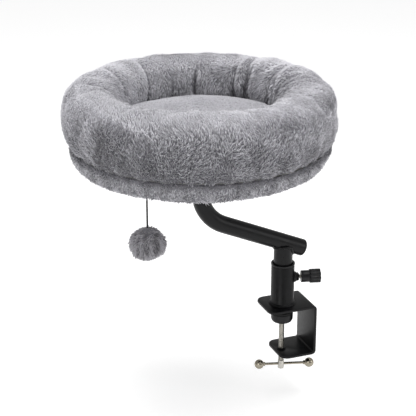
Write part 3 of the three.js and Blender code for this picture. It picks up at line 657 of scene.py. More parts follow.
post = turned([(POST_BORE, POST_FOOT), (POST_RADIUS, POST_FOOT), (POST_RADIUS, POST_TOP),
               (POST_BORE, POST_TOP)], 96, closed_loop=True)
drill(post, ARM_RADIUS + 0.15, -60, 60, 128, ARM_AXIS)  # the saddle
hand_over(post, "coped_mast_post", "mast", "powder_coat", ["mast_post"], 40)

bead_line, bead_widths = [], []
for i in range(361):
    turn = math.radians(i)
    x, y = POST_RADIUS * math.cos(turn), POST_RADIUS * math.sin(turn)
    under_arm = math.sqrt(ARM_RADIUS ** 2 - min(abs(y), 12.2) ** 2) / math.cos(ARM_SLOPE)
    bead_line.append((x * 1.01, y * (1.01 if abs(y) < 12.5 else 0.97),
                      min(ARM_CROSSING - x * math.tan(ARM_SLOPE) - under_arm - 0.3, POST_TOP)))
    bead_widths.append(1 + 0.16 * abs(math.sin(turn * 22)) + 0.1 * math.sin(turn * 3))
weld_bead = round_curve("bead", bead_line, 1.7, bead_widths, 10)
hand_over(weld_bead, "arm_weld_bead", "mast", "powder_coat", (), 60)


# %% Arm
def over_bed(x=0.0, y=0.0):
    """Moves a piece from the frame's origin to the bed's axis, or beside it."""
    return Matrix.Translation(((BED_X + x) * MM, y * MM, 0))


slope_length = -BED_X / math.cos(ARM_SLOPE)
bend_turn = math.pi / 2 - ARM_SLOPE
bend_run = ARM_BEND * math.tan(bend_turn / 2)
bend_height = ARM_CROSSING - BED_X * math.tan(ARM_SLOPE) + bend_run
lower_length = slope_length - bend_run + ARM_TAIL

arm = turned([(ARM_RADIUS, ARM_TOP), (ARM_BORE, ARM_TOP)], 72, filled=False)
arm = place(arm, over_bed())
edit_all()
push((0, 0, bend_height - ARM_TOP))
bend((BED_X + ARM_BEND, 0, bend_height), (0, 1, 0), -math.degrees(bend_turn), 28)
push((lower_length * math.cos(ARM_SLOPE), 0, -lower_length * math.sin(ARM_SLOPE)))
close_mesh()
hand_over(arm, "bent_arm_tube", "mast", "powder_coat", ["arm_tube"], 40)

end_plug = place(turned(rounded([
    (10.4, ARM_TAIL - 9.7), (10.7, ARM_TAIL - 9.0), (10.7, ARM_TAIL + 0.3),
    (ARM_RADIUS, ARM_TAIL + 0.3), (ARM_RADIUS, ARM_TAIL + 1.6), (11.6, ARM_TAIL + 2.8),
    (7.0, ARM_TAIL + 3.4), (0.3, ARM_TAIL + 3.5)], 0.8), 96), ARM_AXIS)
hand_over(end_plug, "moulded_arm_end_plug", "mast", "black_plastic", ["arm_end_plug"], 40)

# %% [markdown]
# ## Flange and screws under the bed
# Under the bed a round plate is welded on the arm's end, and four screws hold the plywood board
# on it. The plate is a disc with a softened rim. One screw is modelled, a button head with a
# six-sided socket, and then copied, each copy with its own mesh.

# %% Flange and screws
FLANGE_BOTTOM, FLANGE_TOP, FLANGE_RADIUS = 246.7, 249.7, 50.0
SCREW_CIRCLE, SCREW_HEAD_TOP, SCREW_END = 38.0, 246.4, 260.6

screw_places = [(SCREW_CIRCLE * math.cos(math.radians(45 + 90 * i)),
                 SCREW_CIRCLE * math.sin(math.radians(45 + 90 * i))) for i in range(4)]
flange = turned([(FLANGE_RADIUS, FLANGE_BOTTOM), (FLANGE_RADIUS, FLANGE_TOP)], 128)
for x, y in screw_places:
    drill(flange, 3.1, 240, 255, 32, Matrix.Translation((x * MM, y * MM, 0)))
soften(flange, 0.5, 2, 60)
hand_over(place(flange, over_bed()), "welded_arm_flange", "mast", "powder_coat", ["arm_flange"])
flange_weld = turned([(12.55, 243.2), (13.2, 243.4), (14.4, 244.6), (15.6, 246.0), (15.7, 246.6),
                      (12.55, 246.6)], 144, closed_loop=True)
weld_scales(flange_weld, 50, 0.6, lambda radius, z: radius > 12.9 and z < 246.5)
hand_over(place(flange_weld, over_bed()), "flange_weld_bead", "mast", "powder_coat", (), 60)

screw = turned(rounded([
    (0.4, SCREW_END), (2.75, SCREW_END), (2.75, SCREW_HEAD_TOP), (5.4, SCREW_HEAD_TOP),
    (5.4, SCREW_HEAD_TOP - 1.0), (3.9, SCREW_HEAD_TOP - 2.9), (0.4, SCREW_HEAD_TOP - 3.2)],
    0.5), 48)
drill(screw, 1.85, 242.5, 245.2, 6)
for i, (x, y) in enumerate(screw_places, 1):
    one = screw if i == len(screw_places) else screw.copy()
    if one != screw:
        one.data = screw.data.copy()
        bpy.context.scene.collection.objects.link(one)
    place(one, over_bed(x, y))
    hand_over(one, f"button_head_screw_{i}", "mast", "zinc_steel", [f"flange_screw_{i}"])

# %% [markdown]
# ## Clamp screw, pad and bar
# The clamp screw has a coarse thread that is plain to see, so it is a true helix, with a ball at
# its top that snaps into the swivel pad. Its hub is cross-drilled for the sliding bar. The balls
# on the bar are turned from one piece each, with a short neck, and polished.

# %% Clamp screw and pad
SCREW_RADIUS, SCREW_PITCH, SCREW_BALL_HEIGHT = 4.0, 1.25, -19.0
PAD_RADIUS, PAD_TOP, PAD_BOTTOM, CUP_TOP = 16.5, -8.0, -26.0, -11.9
HUB_TOP, HUB_BOTTOM, HUB_RADIUS = -91.0, -105.5, 4.7
BAR_HEIGHT, BAR_TURN, BAR_SHIFT, BAR_RADIUS = -98.25, math.radians(-16.5), 5.0, 2.0
BALL_OFFSET, BALL_RADIUS = 38.0, 7.35
BAR_AXIS = lying(BAR_HEIGHT, BAR_TURN)

thread = threaded_rod(SCREW_RADIUS, SCREW_PITCH, HUB_TOP, PAD_BOTTOM - 1.0, 32)
ball_end = turned([(3.0, PAD_BOTTOM - 1.0), (3.0, -22.2)]
                  + ball_rings(4.2, SCREW_BALL_HEIGHT, -44, 86, 14), 48)
hub = turned(rounded([
    (2.2, HUB_BOTTOM), (HUB_RADIUS - 0.9, HUB_BOTTOM), (HUB_RADIUS, HUB_BOTTOM + 0.9),
    (HUB_RADIUS, HUB_TOP - 0.9), (HUB_RADIUS - 0.9, HUB_TOP), (2.2, HUB_TOP)], 0.4), 64)
drill(hub, BAR_RADIUS + 0.3, -12, 12, 48, BAR_AXIS)
clamp_screw = join_pieces([hub, thread, ball_end])
hand_over(clamp_screw, "threaded_clamp_screw", "screw", "zinc_steel", ["clamp_screw"])

socket = ball_rings(4.5, SCREW_BALL_HEIGHT, 84, -43, 12)
cup_outside = rounded([
    (3.35, -24.0), (3.35, PAD_BOTTOM), (11.6, PAD_BOTTOM), (14.4, -24.9), (16.0, -22.4),
    (PAD_RADIUS, -19.6), (PAD_RADIUS, CUP_TOP), (0.5, CUP_TOP)], 1.0)
pad_cup = turned(cup_outside + socket, 96, closed_loop=True)
hand_over(pad_cup, "moulded_pad_cup", "pad", "black_plastic", ["pad_cup"], 40)
tread = []
for ridge in (9.4, 5.2, 1.0):  # the grooves lie outside each ridge
    tread += [(ridge + step, PAD_TOP - dip) for step, dip in (
        (4.2, 0), (3.8, 0.5), (3.2, 0.5), (2.8, 0))]
pad_rubber = turned(rounded([
    (0.4, -11.6), (PAD_RADIUS, -11.6), (PAD_RADIUS, -8.9), (15.6, PAD_TOP), *tread,
    (0.4, PAD_TOP)], 0.3), 96)
hand_over(pad_rubber, "moulded_pad_rubber", "pad", "black_rubber", ["pad_rubber"], 40)

bush = turned(rounded([
    (4.3, -74.0), (4.3, -77.5), (5.25, -77.5), (5.25, -71.7), (6.5, -71.7), (6.5, -70.2),
    (4.3, -70.2), (4.3, -73.0)], 0.4), 64, closed_loop=True)
hand_over(bush, "threaded_jaw_bush", "clamp", "powder_coat", ["clamp_bush"])

# %% Bar and balls
bar_left, bar_right = BAR_SHIFT - BALL_OFFSET, BAR_SHIFT + BALL_OFFSET
bar = turned(rounded([(0.5, bar_left), (BAR_RADIUS, bar_left), (BAR_RADIUS, bar_right),
                      (0.5, bar_right)], 0.3), 48)
hand_over(place(bar, BAR_AXIS), "sliding_tee_bar", "bar", "nickel_plate", ["tee_bar"])
ball_wall = rounded([
    (2.3, 0.3), (2.3, -9.0), (3.25, -9.0), (3.25, -7.4)], 0.4) + ball_rings(
    BALL_RADIUS, 0, -63, 86, 30) + [(0.2, BALL_RADIUS - 0.01), (0.2, 0.3)]
for name, height, flip in (("right", bar_right, 0), ("left", bar_left, math.pi)):
    ball = place(turned(ball_wall, 64, closed_loop=True), Matrix.Rotation(flip, 4, "Y"))
    ball = place(ball, BAR_AXIS @ Matrix.Translation((0, 0, height * MM)))
    hand_over(ball, f"turned_bar_ball_{name}", "bar", "nickel_plate", [f"bar_ball_{name}"], 40)

# %% [markdown]
# ## Toy knot
# The cord is tied to the cover in a small overhand knot. Three loops of the same cord, each
# turned another way, read as a knot at this size.

# %% Toy knot
loops = []
for tilt_x, tilt_y, reach in ((0, 0, 1.25), (64, 20, 1.15), (-58, 42, 1.1)):
    start_piece()
    bpy.ops.mesh.primitive_torus_add(
        location=(TOY_X * MM, TOY_Y * MM, 247.5 * MM), major_radius=reach * MM,
        minor_radius=0.9 * MM, major_segments=28, minor_segments=12,
        rotation=(math.radians(tilt_x), math.radians(tilt_y), 0))
    loops.append(bpy.context.object)
hand_over(join_pieces(loops), "overhand_toy_knot", "toy_knot", "black_cord", ["toy_knot"], 180)

# %% [markdown]
# ## Faux fur
# The bed is sewn from long-pile polyester fur, a knitted cloth with soft fibres standing on it.
# In life the fibres stick together in small tufts with lit tips and dark gaps, and that is what
# the eye reads as plush. Blender's hair isn't a mesh and would be lost in an export, so each
# tuft is a small curved spike. All tufts of a patch are one mesh, written in one go. Its
# materials are a few plain shades of one fibre. They vary its tone at random, and they also paint
# its light and shade: the darkest is painted shade in the gaps and creases, a tip one shade
# lighter than its root is a painted highlight, and the brightest is painted light on the crest.

# %% Fur materials
shaded_fur_backing, tree, shader, at = new_material(
    "knitted_polyester_fur_backing", Roughness=0.95, Sheen_Weight=0.3)
roots = pattern(tree, "Voronoi", at, 2.0).outputs["Distance"]
patches = pattern(tree, "Noise", at, 22.0, Detail=4.0)
blend = add_node(tree, "ShaderNodeMath", {0: roots, 1: patches.outputs["Fac"]},
                 operation="MULTIPLY")
# Painted shade: the backing's greys are darker than the fibre's, because it shows only deep
# between the tufts, where shade falls.
two_tone(tree, shader, blend.outputs[0], "#8f8e94", "#6f6e74", 0.05, 0.5)
relief(tree, shader, roots, 0.6, 0.5)
finishes["grey_plush"] = finishes["pale_plush"] = shaded_fur_backing


def tuft_material(name, shade):
    """One shade of fibre. Its colour is plain, because a tuft is too small to carry a pattern,
    and a fine noise along it roughens its gloss like single fibres."""
    material, tree, shader, at = new_material(
        name, Roughness=0.8, Base_Color=colour(shade), Sheen_Weight=0.35, Sheen_Roughness=0.5,
        Specular_IOR_Level=0.25)
    fibre = pattern(tree, "Noise", at, 0.7)
    uneven_gloss(tree, shader, fibre.outputs["Fac"], 0.7, 0.95)
    return material


def fibre_shades(kind, *shades):
    """Materials for the shades of one fibre, from the painted shade of its gaps to the painted
    light of its lit tips and crest.
    """
    names = ("gap", "deep", "middle", "light", "pale", "bright")
    print(kind, "fibre in", len(shades), "shades")
    return [tuft_material(f"{kind}_fibre_{name}", shade) for name, shade in zip(names, shades)]


# The gap shade is painted shade for creases, seams and the gaps between tufts, and the bright one
# is painted light on the crest.
fur_shades = fibre_shades(
    "polyester", "#504f55", "#88878d", "#a1a0a6", "#b5b4ba", "#d0cfd5", "#e6e5ea")
# The toy's fibre is the bed's, in darker shades that paint the shade under the bed.
toy_fibre_in_shade = fibre_shades("toy", "#4a484e", "#636167", "#878589", "#a6a4aa", "#c3c1c7")


# %% Noise and fur helpers
CLOTH_FRAMES = 20
FRONT = 248.6  # the turn that faces the camera


def soft_noise(points, size, seed):
    """A smooth noise of about -1 to 1 whose lumps are this many millimetres wide."""
    rng = np.random.default_rng(seed)
    total = np.zeros(len(points))
    for _ in range(7):
        way = rng.normal(size=3)
        wave = size * (1.4 + 1.2 * rng.random())
        total += np.sin(points @ (way / np.linalg.norm(way)) * 2 * np.pi / wave
                        + 2 * np.pi * rng.random())
    return total / 3.0


def ease(low, high, value):
    share = np.clip((value - low) / (high - low), 0, 1)
    return share * share * (3 - 2 * share)


def hump(value, centre, width):
    """A smooth hump of height 1 at a centre, which is down to a third at a width from it."""
    return np.exp(-((value - centre) / width) ** 2)


def turns_off(turn, degrees):
    """How far round each turn is from a given one, in degrees, from -180 to 180."""
    off = turn - np.radians(degrees)
    return np.degrees(np.arctan2(np.sin(off), np.cos(off)))


def lifts(turn, table):
    """The sum of the humps in a table, each with a height, a turn and a width in degrees."""
    return sum(lift * hump(turns_off(turn, at), 0, wide) for lift, at, wide in table)


def about_bed(places):
    """Each place's turn about the bed's axis and its distance from it."""
    x, y = places[:, 0] - BED_X, places[:, 1]
    return np.arctan2(y, x), np.hypot(x, y)


def ways_at(turn):
    """The ways outwards and around at each turn."""
    flat = np.zeros(len(turn))
    return (np.stack([np.cos(turn), np.sin(turn), flat], 1),
            np.stack([-np.sin(turn), np.cos(turn), flat], 1))


def unit(vectors):
    return vectors / np.maximum(np.linalg.norm(vectors, axis=1, keepdims=True), 1e-9)


def mesh_points(piece):
    """A piece's vertices in millimetres, and its normals, as arrays."""
    places, normals = (np.empty(len(piece.data.vertices) * 3) for _ in range(2))
    piece.data.vertices.foreach_get("co", places)
    piece.data.vertices.foreach_get("normal", normals)
    return places.reshape(-1, 3) / MM, normals.reshape(-1, 3)


def move_points(piece, places):
    piece.data.vertices.foreach_set("co", (places * MM).ravel())
    piece.data.update()


def roots_on(piece, spacing, rng):
    """Even random places on a mesh, about one in each square of the spacing, their normals,
    and a function that reads a value given for each vertex at those places."""
    places, normals = mesh_points(piece)
    mesh = piece.data
    mesh.calc_loop_triangles()
    corners = np.empty(len(mesh.loop_triangles) * 3, np.int32)
    mesh.loop_triangles.foreach_get("vertices", corners)
    corners = corners.reshape(-1, 3)
    a, b, c = (places[corners[:, k]] for k in range(3))
    area = np.cumsum(np.linalg.norm(np.cross(b - a, c - a), axis=1) / 2)
    count = int(area[-1] / spacing ** 2)
    pick = np.searchsorted(area, (np.arange(count) + rng.random(count)) * area[-1] / count)
    pick = np.minimum(pick, len(corners) - 1)
    u, v = rng.random(count), rng.random(count)
    fold = u + v > 1
    u[fold], v[fold] = 1 - u[fold], 1 - v[fold]
    weights = np.stack([1 - u - v, u, v], 1)[:, :, None]
    where = (places[corners[pick]] * weights).sum(1)
    facing = unit((normals[corners[pick]] * weights).sum(1))
    return where, facing, lambda values: (values[corners[pick]] * weights[:, :, 0]).sum(1)


def blow_up(piece, held, cap, pressure, growth):
    """Runs Cloth on a closed shell with air in it, whose cloth grows by a share. Gives how far
    each vertex moves, at most the cap, in millimetres. A weight of 1 in held keeps a vertex."""
    before, _ = mesh_points(piece)
    group = piece.vertex_groups.new(name="held")
    for index, weight in enumerate(held):
        group.add([index], float(weight), "REPLACE")
    cloth = piece.modifiers.new("air", "CLOTH")
    cloth.settings.quality = 5
    cloth.settings.mass = 0.3
    cloth.settings.tension_stiffness = cloth.settings.compression_stiffness = 15
    cloth.settings.shear_stiffness = 7
    cloth.settings.bending_stiffness = 1.0
    cloth.settings.shrink_min = -growth
    cloth.settings.use_pressure = True
    cloth.settings.uniform_pressure_force = pressure
    cloth.settings.vertex_group_mass = group.name
    cloth.settings.effector_weights.gravity = 0
    cloth.point_cache.frame_end = CLOTH_FRAMES
    for step in range(1, CLOTH_FRAMES + 1):
        bpy.context.scene.frame_set(step)
    blown = piece.evaluated_get(bpy.context.evaluated_depsgraph_get())
    after = np.empty(len(before) * 3)
    blown.data.vertices.foreach_get("co", after)
    shift = after.reshape(-1, 3) / MM - before
    piece.modifiers.remove(cloth)
    piece.vertex_groups.remove(group)
    bpy.context.scene.frame_set(1)
    far = np.linalg.norm(shift, axis=1)
    print(piece.name, "blown up by", round(far.mean(), 2), "mm, at most", round(far.max(), 2))
    return shift * np.minimum(1, cap / np.maximum(far, 1e-9))[:, None]


def shade_of(tone):
    """The slot of a tone: the painted shade of the gaps below 0, four steps up to 1, and the
    painted light of the bright ones.
    """
    return np.clip(np.floor(tone * 4).astype(int) + 1, 0, 5)


def fur_patch(name, body, where, facing, comb, length, width, lean, bow, shade, shades):
    """One mesh of curved spikes. comb is the way each lies, lean its first angle from the
    cloth's normal and bow how much further its tip bends, both in degrees."""
    comb = unit(comb - facing * (comb * facing).sum(1, keepdims=True))
    side = np.cross(facing, comb)
    steps, along = [], where - facing * 0.5
    for share, angle in ((0.55, lean), (0.45, lean + bow)):
        turn = np.radians(angle)[:, None]
        way = facing * np.cos(turn) + comb * np.sin(turn)
        steps.append((along, way))
        along = along + way * (length * share)[:, None]
    places = np.empty((len(where), 7, 3))
    for ring, (centre, way) in enumerate(steps):
        other = np.cross(way, side)
        half = (width * (0.5 if ring == 0 else 0.42))[:, None]
        for k in range(3):
            turn = math.radians(90 + 120 * k)
            places[:, ring * 3 + k] = centre + half * (
                side * math.cos(turn) + other * math.sin(turn))
    places[:, 6] = along
    pattern = np.array([0, 1, 4, 3, 1, 2, 5, 4, 2, 0, 3, 5, 3, 4, 6, 4, 5, 6, 5, 3, 6, 2, 1, 0])
    sizes = np.array([4, 4, 4, 3, 3, 3, 3])
    count = len(where)
    mesh = bpy.data.meshes.new(name)
    mesh.vertices.add(count * 7)
    mesh.vertices.foreach_set("co", (places * MM).ravel())
    mesh.loops.add(count * len(pattern))
    mesh.loops.foreach_set(
        "vertex_index", (np.arange(count)[:, None] * 7 + pattern).ravel().astype(np.int32))
    starts = np.concatenate([[0], np.cumsum(sizes)[:-1]])
    mesh.polygons.add(count * 7)
    mesh.polygons.foreach_set(
        "loop_start",
        (np.arange(count)[:, None] * len(pattern) + starts).ravel().astype(np.int32))
    mesh.polygons.foreach_set("use_smooth", np.ones(count * 7, bool))
    for material in shades:
        mesh.materials.append(material)
    shade = np.minimum(shade, len(shades) - 1)
    # Painted highlight: the tips' faces get a shade one lighter than the roots', for the light
    # the tips catch.
    tips = np.minimum(shade + 1, len(shades) - 1)  # the ends of the fibres catch the light
    layout = np.stack([shade] * 3 + [tips] * 4, 1)
    mesh.polygons.foreach_set("material_index", layout.ravel().astype(np.int32))
    mesh.update(calc_edges=True)
    patch = bpy.data.objects.new(name, mesh)
    bpy.context.scene.collection.objects.link(patch)
    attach(patch, body)
    print(name, "has", count, "tufts on", body)
    return patch


# %% [markdown]
# ## Bolster
# The ring is a tube of fur stuffed with fibre. It stands straight beside the cushion, bulges out
# over its seam and is gathered on its inner wall, where folds fan up towards the crest. A torus
# gives the right mesh, rings of rings. Each point's turn about the bed and turn about the tube
# are read from where it lies, and it is moved to its place on the tube's real section. Then the
# folds are pressed in, each with a lapping side and a side that falls away. Last, the ring is
# blown up as cloth that is a little too long, which gives it the puffs of a stuffed tube. That
# runs on a coarse ring, and the finer one takes its shift over.

# %% Bolster cloth
SECTION = [
    (185.0, 306), (184.8, 321.7), (181.0, 338.2), (171.2, 350.4), (157.2, 356.8), (143.5, 357.7),
    (130.6, 354.8), (120.2, 346.4), (113.8, 332.4), (111.6, 316), (111.8, 300), (113, 286),
    (115.0, 276.2), (130, 275.9), (145, 275.9), (160, 275.9), (173.5, 276.2), (180.4, 279.0),
    (183.4, 286), (184.8, 296)]
CUTS = 720
BOLSTER_FOOT, START_INSET = 275.9, 1.6
RING_RADIUS, TUBE_RADIUS, RING_FACES, TUBE_FACES = 148, 36, 240, 56
# Where the ring is fuller or flatter: by how much in millimetres, and the turn and the width in
# degrees. It isn't equally high all round: most at its front, least at the back's middle.
BULGES = [(3.4, 168, 38), (-3.2, 338, 40), (2.4, 205, 8)]
SHOULDERS = [(6.2, 342, 16), (3.6, 146, 11)]
RISES = [(4.0, FRONT, 60), (-1.5, 76, 30), (2.0, 67, 12), (3.8, 25, 18), (2.8, 122, 18),
         (2.6, 29, 6), (-2.6, 16, 6), (3.0, 3, 8)]


def smooth_loop(points, count):
    """A closed smooth line through points, cut into equal lengths."""
    line = []
    total = len(points)
    for i in range(total):
        p0, p1, p2, p3 = (np.array(points[(i + k - 1) % total], float) for k in range(4))
        for t in np.linspace(0, 1, 24, endpoint=False):
            line.append(0.5 * (2 * p1 + (p2 - p0) * t + (2 * p0 - 5 * p1 + 4 * p2 - p3) * t ** 2
                               + (3 * p1 - p0 - 3 * p2 + p3) * t ** 3))
    line = np.array(line + [line[0]])
    run = np.concatenate([[0], np.cumsum(np.linalg.norm(np.diff(line, axis=0), axis=1))])
    cuts = np.linspace(0, run[-1], count, endpoint=False)
    return np.stack([np.interp(cuts, run, line[:, k]) for k in range(2)], 1)


# Each fold: turn at the crest, turn at the foot, depth, width, which side laps over, and how far
# up it starts, as a share of the way from the crest (0) to the foot (1)
FOLDS = [
    (107.5, 113, 9.5, 15, 1, -0.1), (134, 149, 8.5, 14, 1, -0.2), (163, 175, 6.5, 12, 1, -0.2),
    (196, 196, 8, 12, 1, 0.0), (216, 214, 8, 10, -1, -0.1), (223.5, 224, 4, 7, 1, 0.1),
    (231, 232, 5.5, 8, 1, 0.1), (240.5, 242, 8, 10, 1, 0.1), (250, 251, 5, 8, -1, 0.1),
    (258.7, 261, 7, 9, 1, 0.1), (272.7, 272, 7.5, 9, -1, 0.1), (286.7, 290, 7, 9, 1, 0.1),
    (304, 308, 8.5, 12, 1, 0.1), (318, 321, 6, 10, -1, -0.05), (333, 330, 7, 9, -1, -0.15),
    (347, 340, 9, 9, -1, -0.12), (354, 352.5, 9, 8, -1, -0.06), (367, 357.5, 11, 9, -1, -0.15),
    (14, 13, 5, 7, 1, -0.2), (30.5, 30, 10, 9, -1, 0.15), (36.5, 38, 5.5, 8, 1, -0.15),
    (42, 42, 7.5, 7, -1, 0.08), (47, 46, 5, 6, 1, 0.4), (70, 71.5, 7, 8, -1, 0.2),
    (88, 88, 3, 10, -1, 0.3)]


def fold_depth(turn, share, radius, height):
    """How far the inner wall falls back at a turn, a share of the way down and a radius, and
    how close a point is to a crease, from 0 to 1."""
    depth, crease = np.zeros(len(turn)), np.zeros(len(turn))
    for crest, foot, deep, wide, lap, start in FOLDS:
        line = crest + (foot - crest) * np.clip(share, -0.3, 1)
        off = lap * np.radians(turns_off(turn, line)) * radius
        fall = np.exp(-(np.maximum(-off, 0) / wide) ** 1.4)
        rise = hump(np.maximum(off, 0), 0, 2.6)
        swell = 0.35 * hump(off, wide * 0.8, wide * 0.6) * ease(304, 322, height)
        fade = ease(start, start + 0.32, share) * ease(278, 300, height)
        depth += deep * fade * (np.where(off < 0, fall, rise) - swell)
        # The crease band lies a little towards the side that falls away, where the fold's shade
        # is painted into the tone.
        crease = np.maximum(crease, deep / 9 * fade * hump(
            off, -1.2 - 0.25 * deep, 2.4 + 0.14 * deep))
    return depth, np.minimum(crease, 1)


even = smooth_loop(SECTION, CUTS)
crest_at = int(np.argmax(even[:, 1]))
foot_at = int(np.argmin(np.hypot(even[:, 0] - 116.0, even[:, 1] - 276.2)))
seam_at = int(np.argmin(np.hypot(even[:, 0] - 172.5, even[:, 1] - 276.2)))
# The share of the way from the crest (0) down the inner wall to the foot (1) and beyond, and
# below 0 down the outer wall to the seam (-1)
run = np.arange(-crest_at, CUTS - crest_at)
to_seam = crest_at + CUTS - seam_at
down = np.where(run < 0, run / to_seam, run / (foot_at - crest_at))
down[seam_at:] = (np.arange(seam_at, CUTS) - crest_at - CUTS) / to_seam
down = np.minimum(down, 1)
facing_out = np.roll(even, -1, 0) - np.roll(even, 1, 0)
facing_out = unit(np.stack([facing_out[:, 1], -facing_out[:, 0]], 1))


def shaped_ring(cuts):
    """A torus moved onto the tube's section, with its lumps and folds. Gives the piece and
    each point's turn about the bed, turn about the tube, share, height and crease."""
    start_piece()
    bpy.ops.mesh.primitive_torus_add(
        major_segments=RING_FACES, minor_segments=TUBE_FACES,
        major_radius=RING_RADIUS * MM, minor_radius=TUBE_RADIUS * MM)
    piece = bpy.context.object
    bpy.ops.object.mode_set(mode="EDIT")
    if cuts:
        bpy.ops.mesh.subdivide(number_cuts=cuts)
    bpy.ops.object.mode_set(mode="OBJECT")
    torus, _ = mesh_points(piece)
    turn = np.arctan2(torus[:, 1], torus[:, 0]) % (2 * np.pi)
    about = np.arctan2(torus[:, 2], np.hypot(torus[:, 0], torus[:, 1]) - RING_RADIUS)
    about = about / (2 * np.pi) % 1
    radius, height, out_r, out_z = (
        np.interp(about * CUTS, np.arange(CUTS + 1), np.append(line, line[0]))
        for line in (*even.T, *facing_out.T))
    share = down[np.rint(about * CUTS).astype(int) % CUTS]
    flat = np.stack([radius * np.cos(turn), radius * np.sin(turn), height], 1)
    press, crease = fold_depth(turn, share, radius, height)
    lumps = 1.5 * soft_noise(flat, 46, 3) + 0.9 * soft_noise(flat, 20, 4)
    dimple = 3.2 * hump(turns_off(turn, 212.5) * radius, 0, 344) * hump(share, 0.02, 0.12)
    tuck = 1.3 * hump(height, 279, 6) * np.sin(turn * 41 + 1.5 * np.sin(turn * 7))
    tuck *= (radius > 150) * ease(BOLSTER_FOOT, 278, height)
    bulge = lifts(turn, BULGES) * hump(height, 326, 26) * ease(140, 165, radius)
    bulge -= lifts(turn, [(4.0, 206, 13)]) * ease(0, 0.16, share) * (1 - ease(0.45, 0.75, share))
    bulge += lifts(turn, SHOULDERS) * hump(share, -0.22, 0.2)
    swell = (lumps - START_INSET) * ease(BOLSTER_FOOT, 290, height)
    swell += bulge - press - dimple - tuck
    # At its sides the seam lies higher than at the front
    side = 1 - lifts(turn, [(1, FRONT, 55)])
    swell -= 2.6 * side * hump(height, 281, 5) * ease(170, 178, radius)
    rise = lifts(turn, RISES) * ease(305, 352, height)
    radius = radius + out_r * swell
    height = height + out_z * swell + rise
    move_points(piece, np.stack([
        BED_X + radius * np.cos(turn), radius * np.sin(turn), height], 1))
    return piece, turn, about, share, height, crease


# The cloth is blown up on a coarse ring, held where it rests and at its gathers
draft, turn, about, share, height, crease = shaped_ring(0)
draft.name = "bolster_draft"
held = np.maximum(np.clip(1.6 * crease, 0, 1), 1 - ease(277, 284, height))
puff = blow_up(draft, held, 5, 8, 0.012)
puffed = np.zeros((RING_FACES, TUBE_FACES, 3))
puffed[np.rint(turn / (2 * np.pi) * RING_FACES).astype(int) % RING_FACES,
       np.rint(about * TUBE_FACES).astype(int) % TUBE_FACES] = puff
bpy.data.objects.remove(draft)

bolster, turn, about, share, height, crease = shaped_ring(1)
bolster_places, _ = mesh_points(bolster)
rows, columns = turn / (2 * np.pi) * RING_FACES, about * TUBE_FACES
for row_step, column_step in ((0, 0), (0, 1), (1, 0), (1, 1)):
    row = np.floor(rows).astype(int) + row_step
    column = np.floor(columns).astype(int) + column_step
    weight = (1 - np.abs(rows - row)) * (1 - np.abs(columns - column))
    bolster_places += weight[:, None] * puffed[row % RING_FACES, column % TUBE_FACES]
bolster_places[:, 2] = np.maximum(bolster_places[:, 2], BOLSTER_FOOT - 0.1)
move_points(bolster, bolster_places)
hand_over(bolster, "stuffed_bolster_ring", "mast", "grey_plush", ["bolster"], 180)

# %% [markdown]
# The pile lies smooth over the crest and the flanks, where hands have brushed it, and stands
# ruffled on the front. So each tuft's length, lean and direction follow where it grows, plus a
# slow swirl and a little chance. Its tone varies at random, and light and shade are painted into
# it: painted shade in the creases, in the ruffled pile and along the seam, and painted light on
# the crest, where the ends of the fibres turn to the light, and on the back's inner wall. The fur
# is cut into sectors to keep each mesh light.


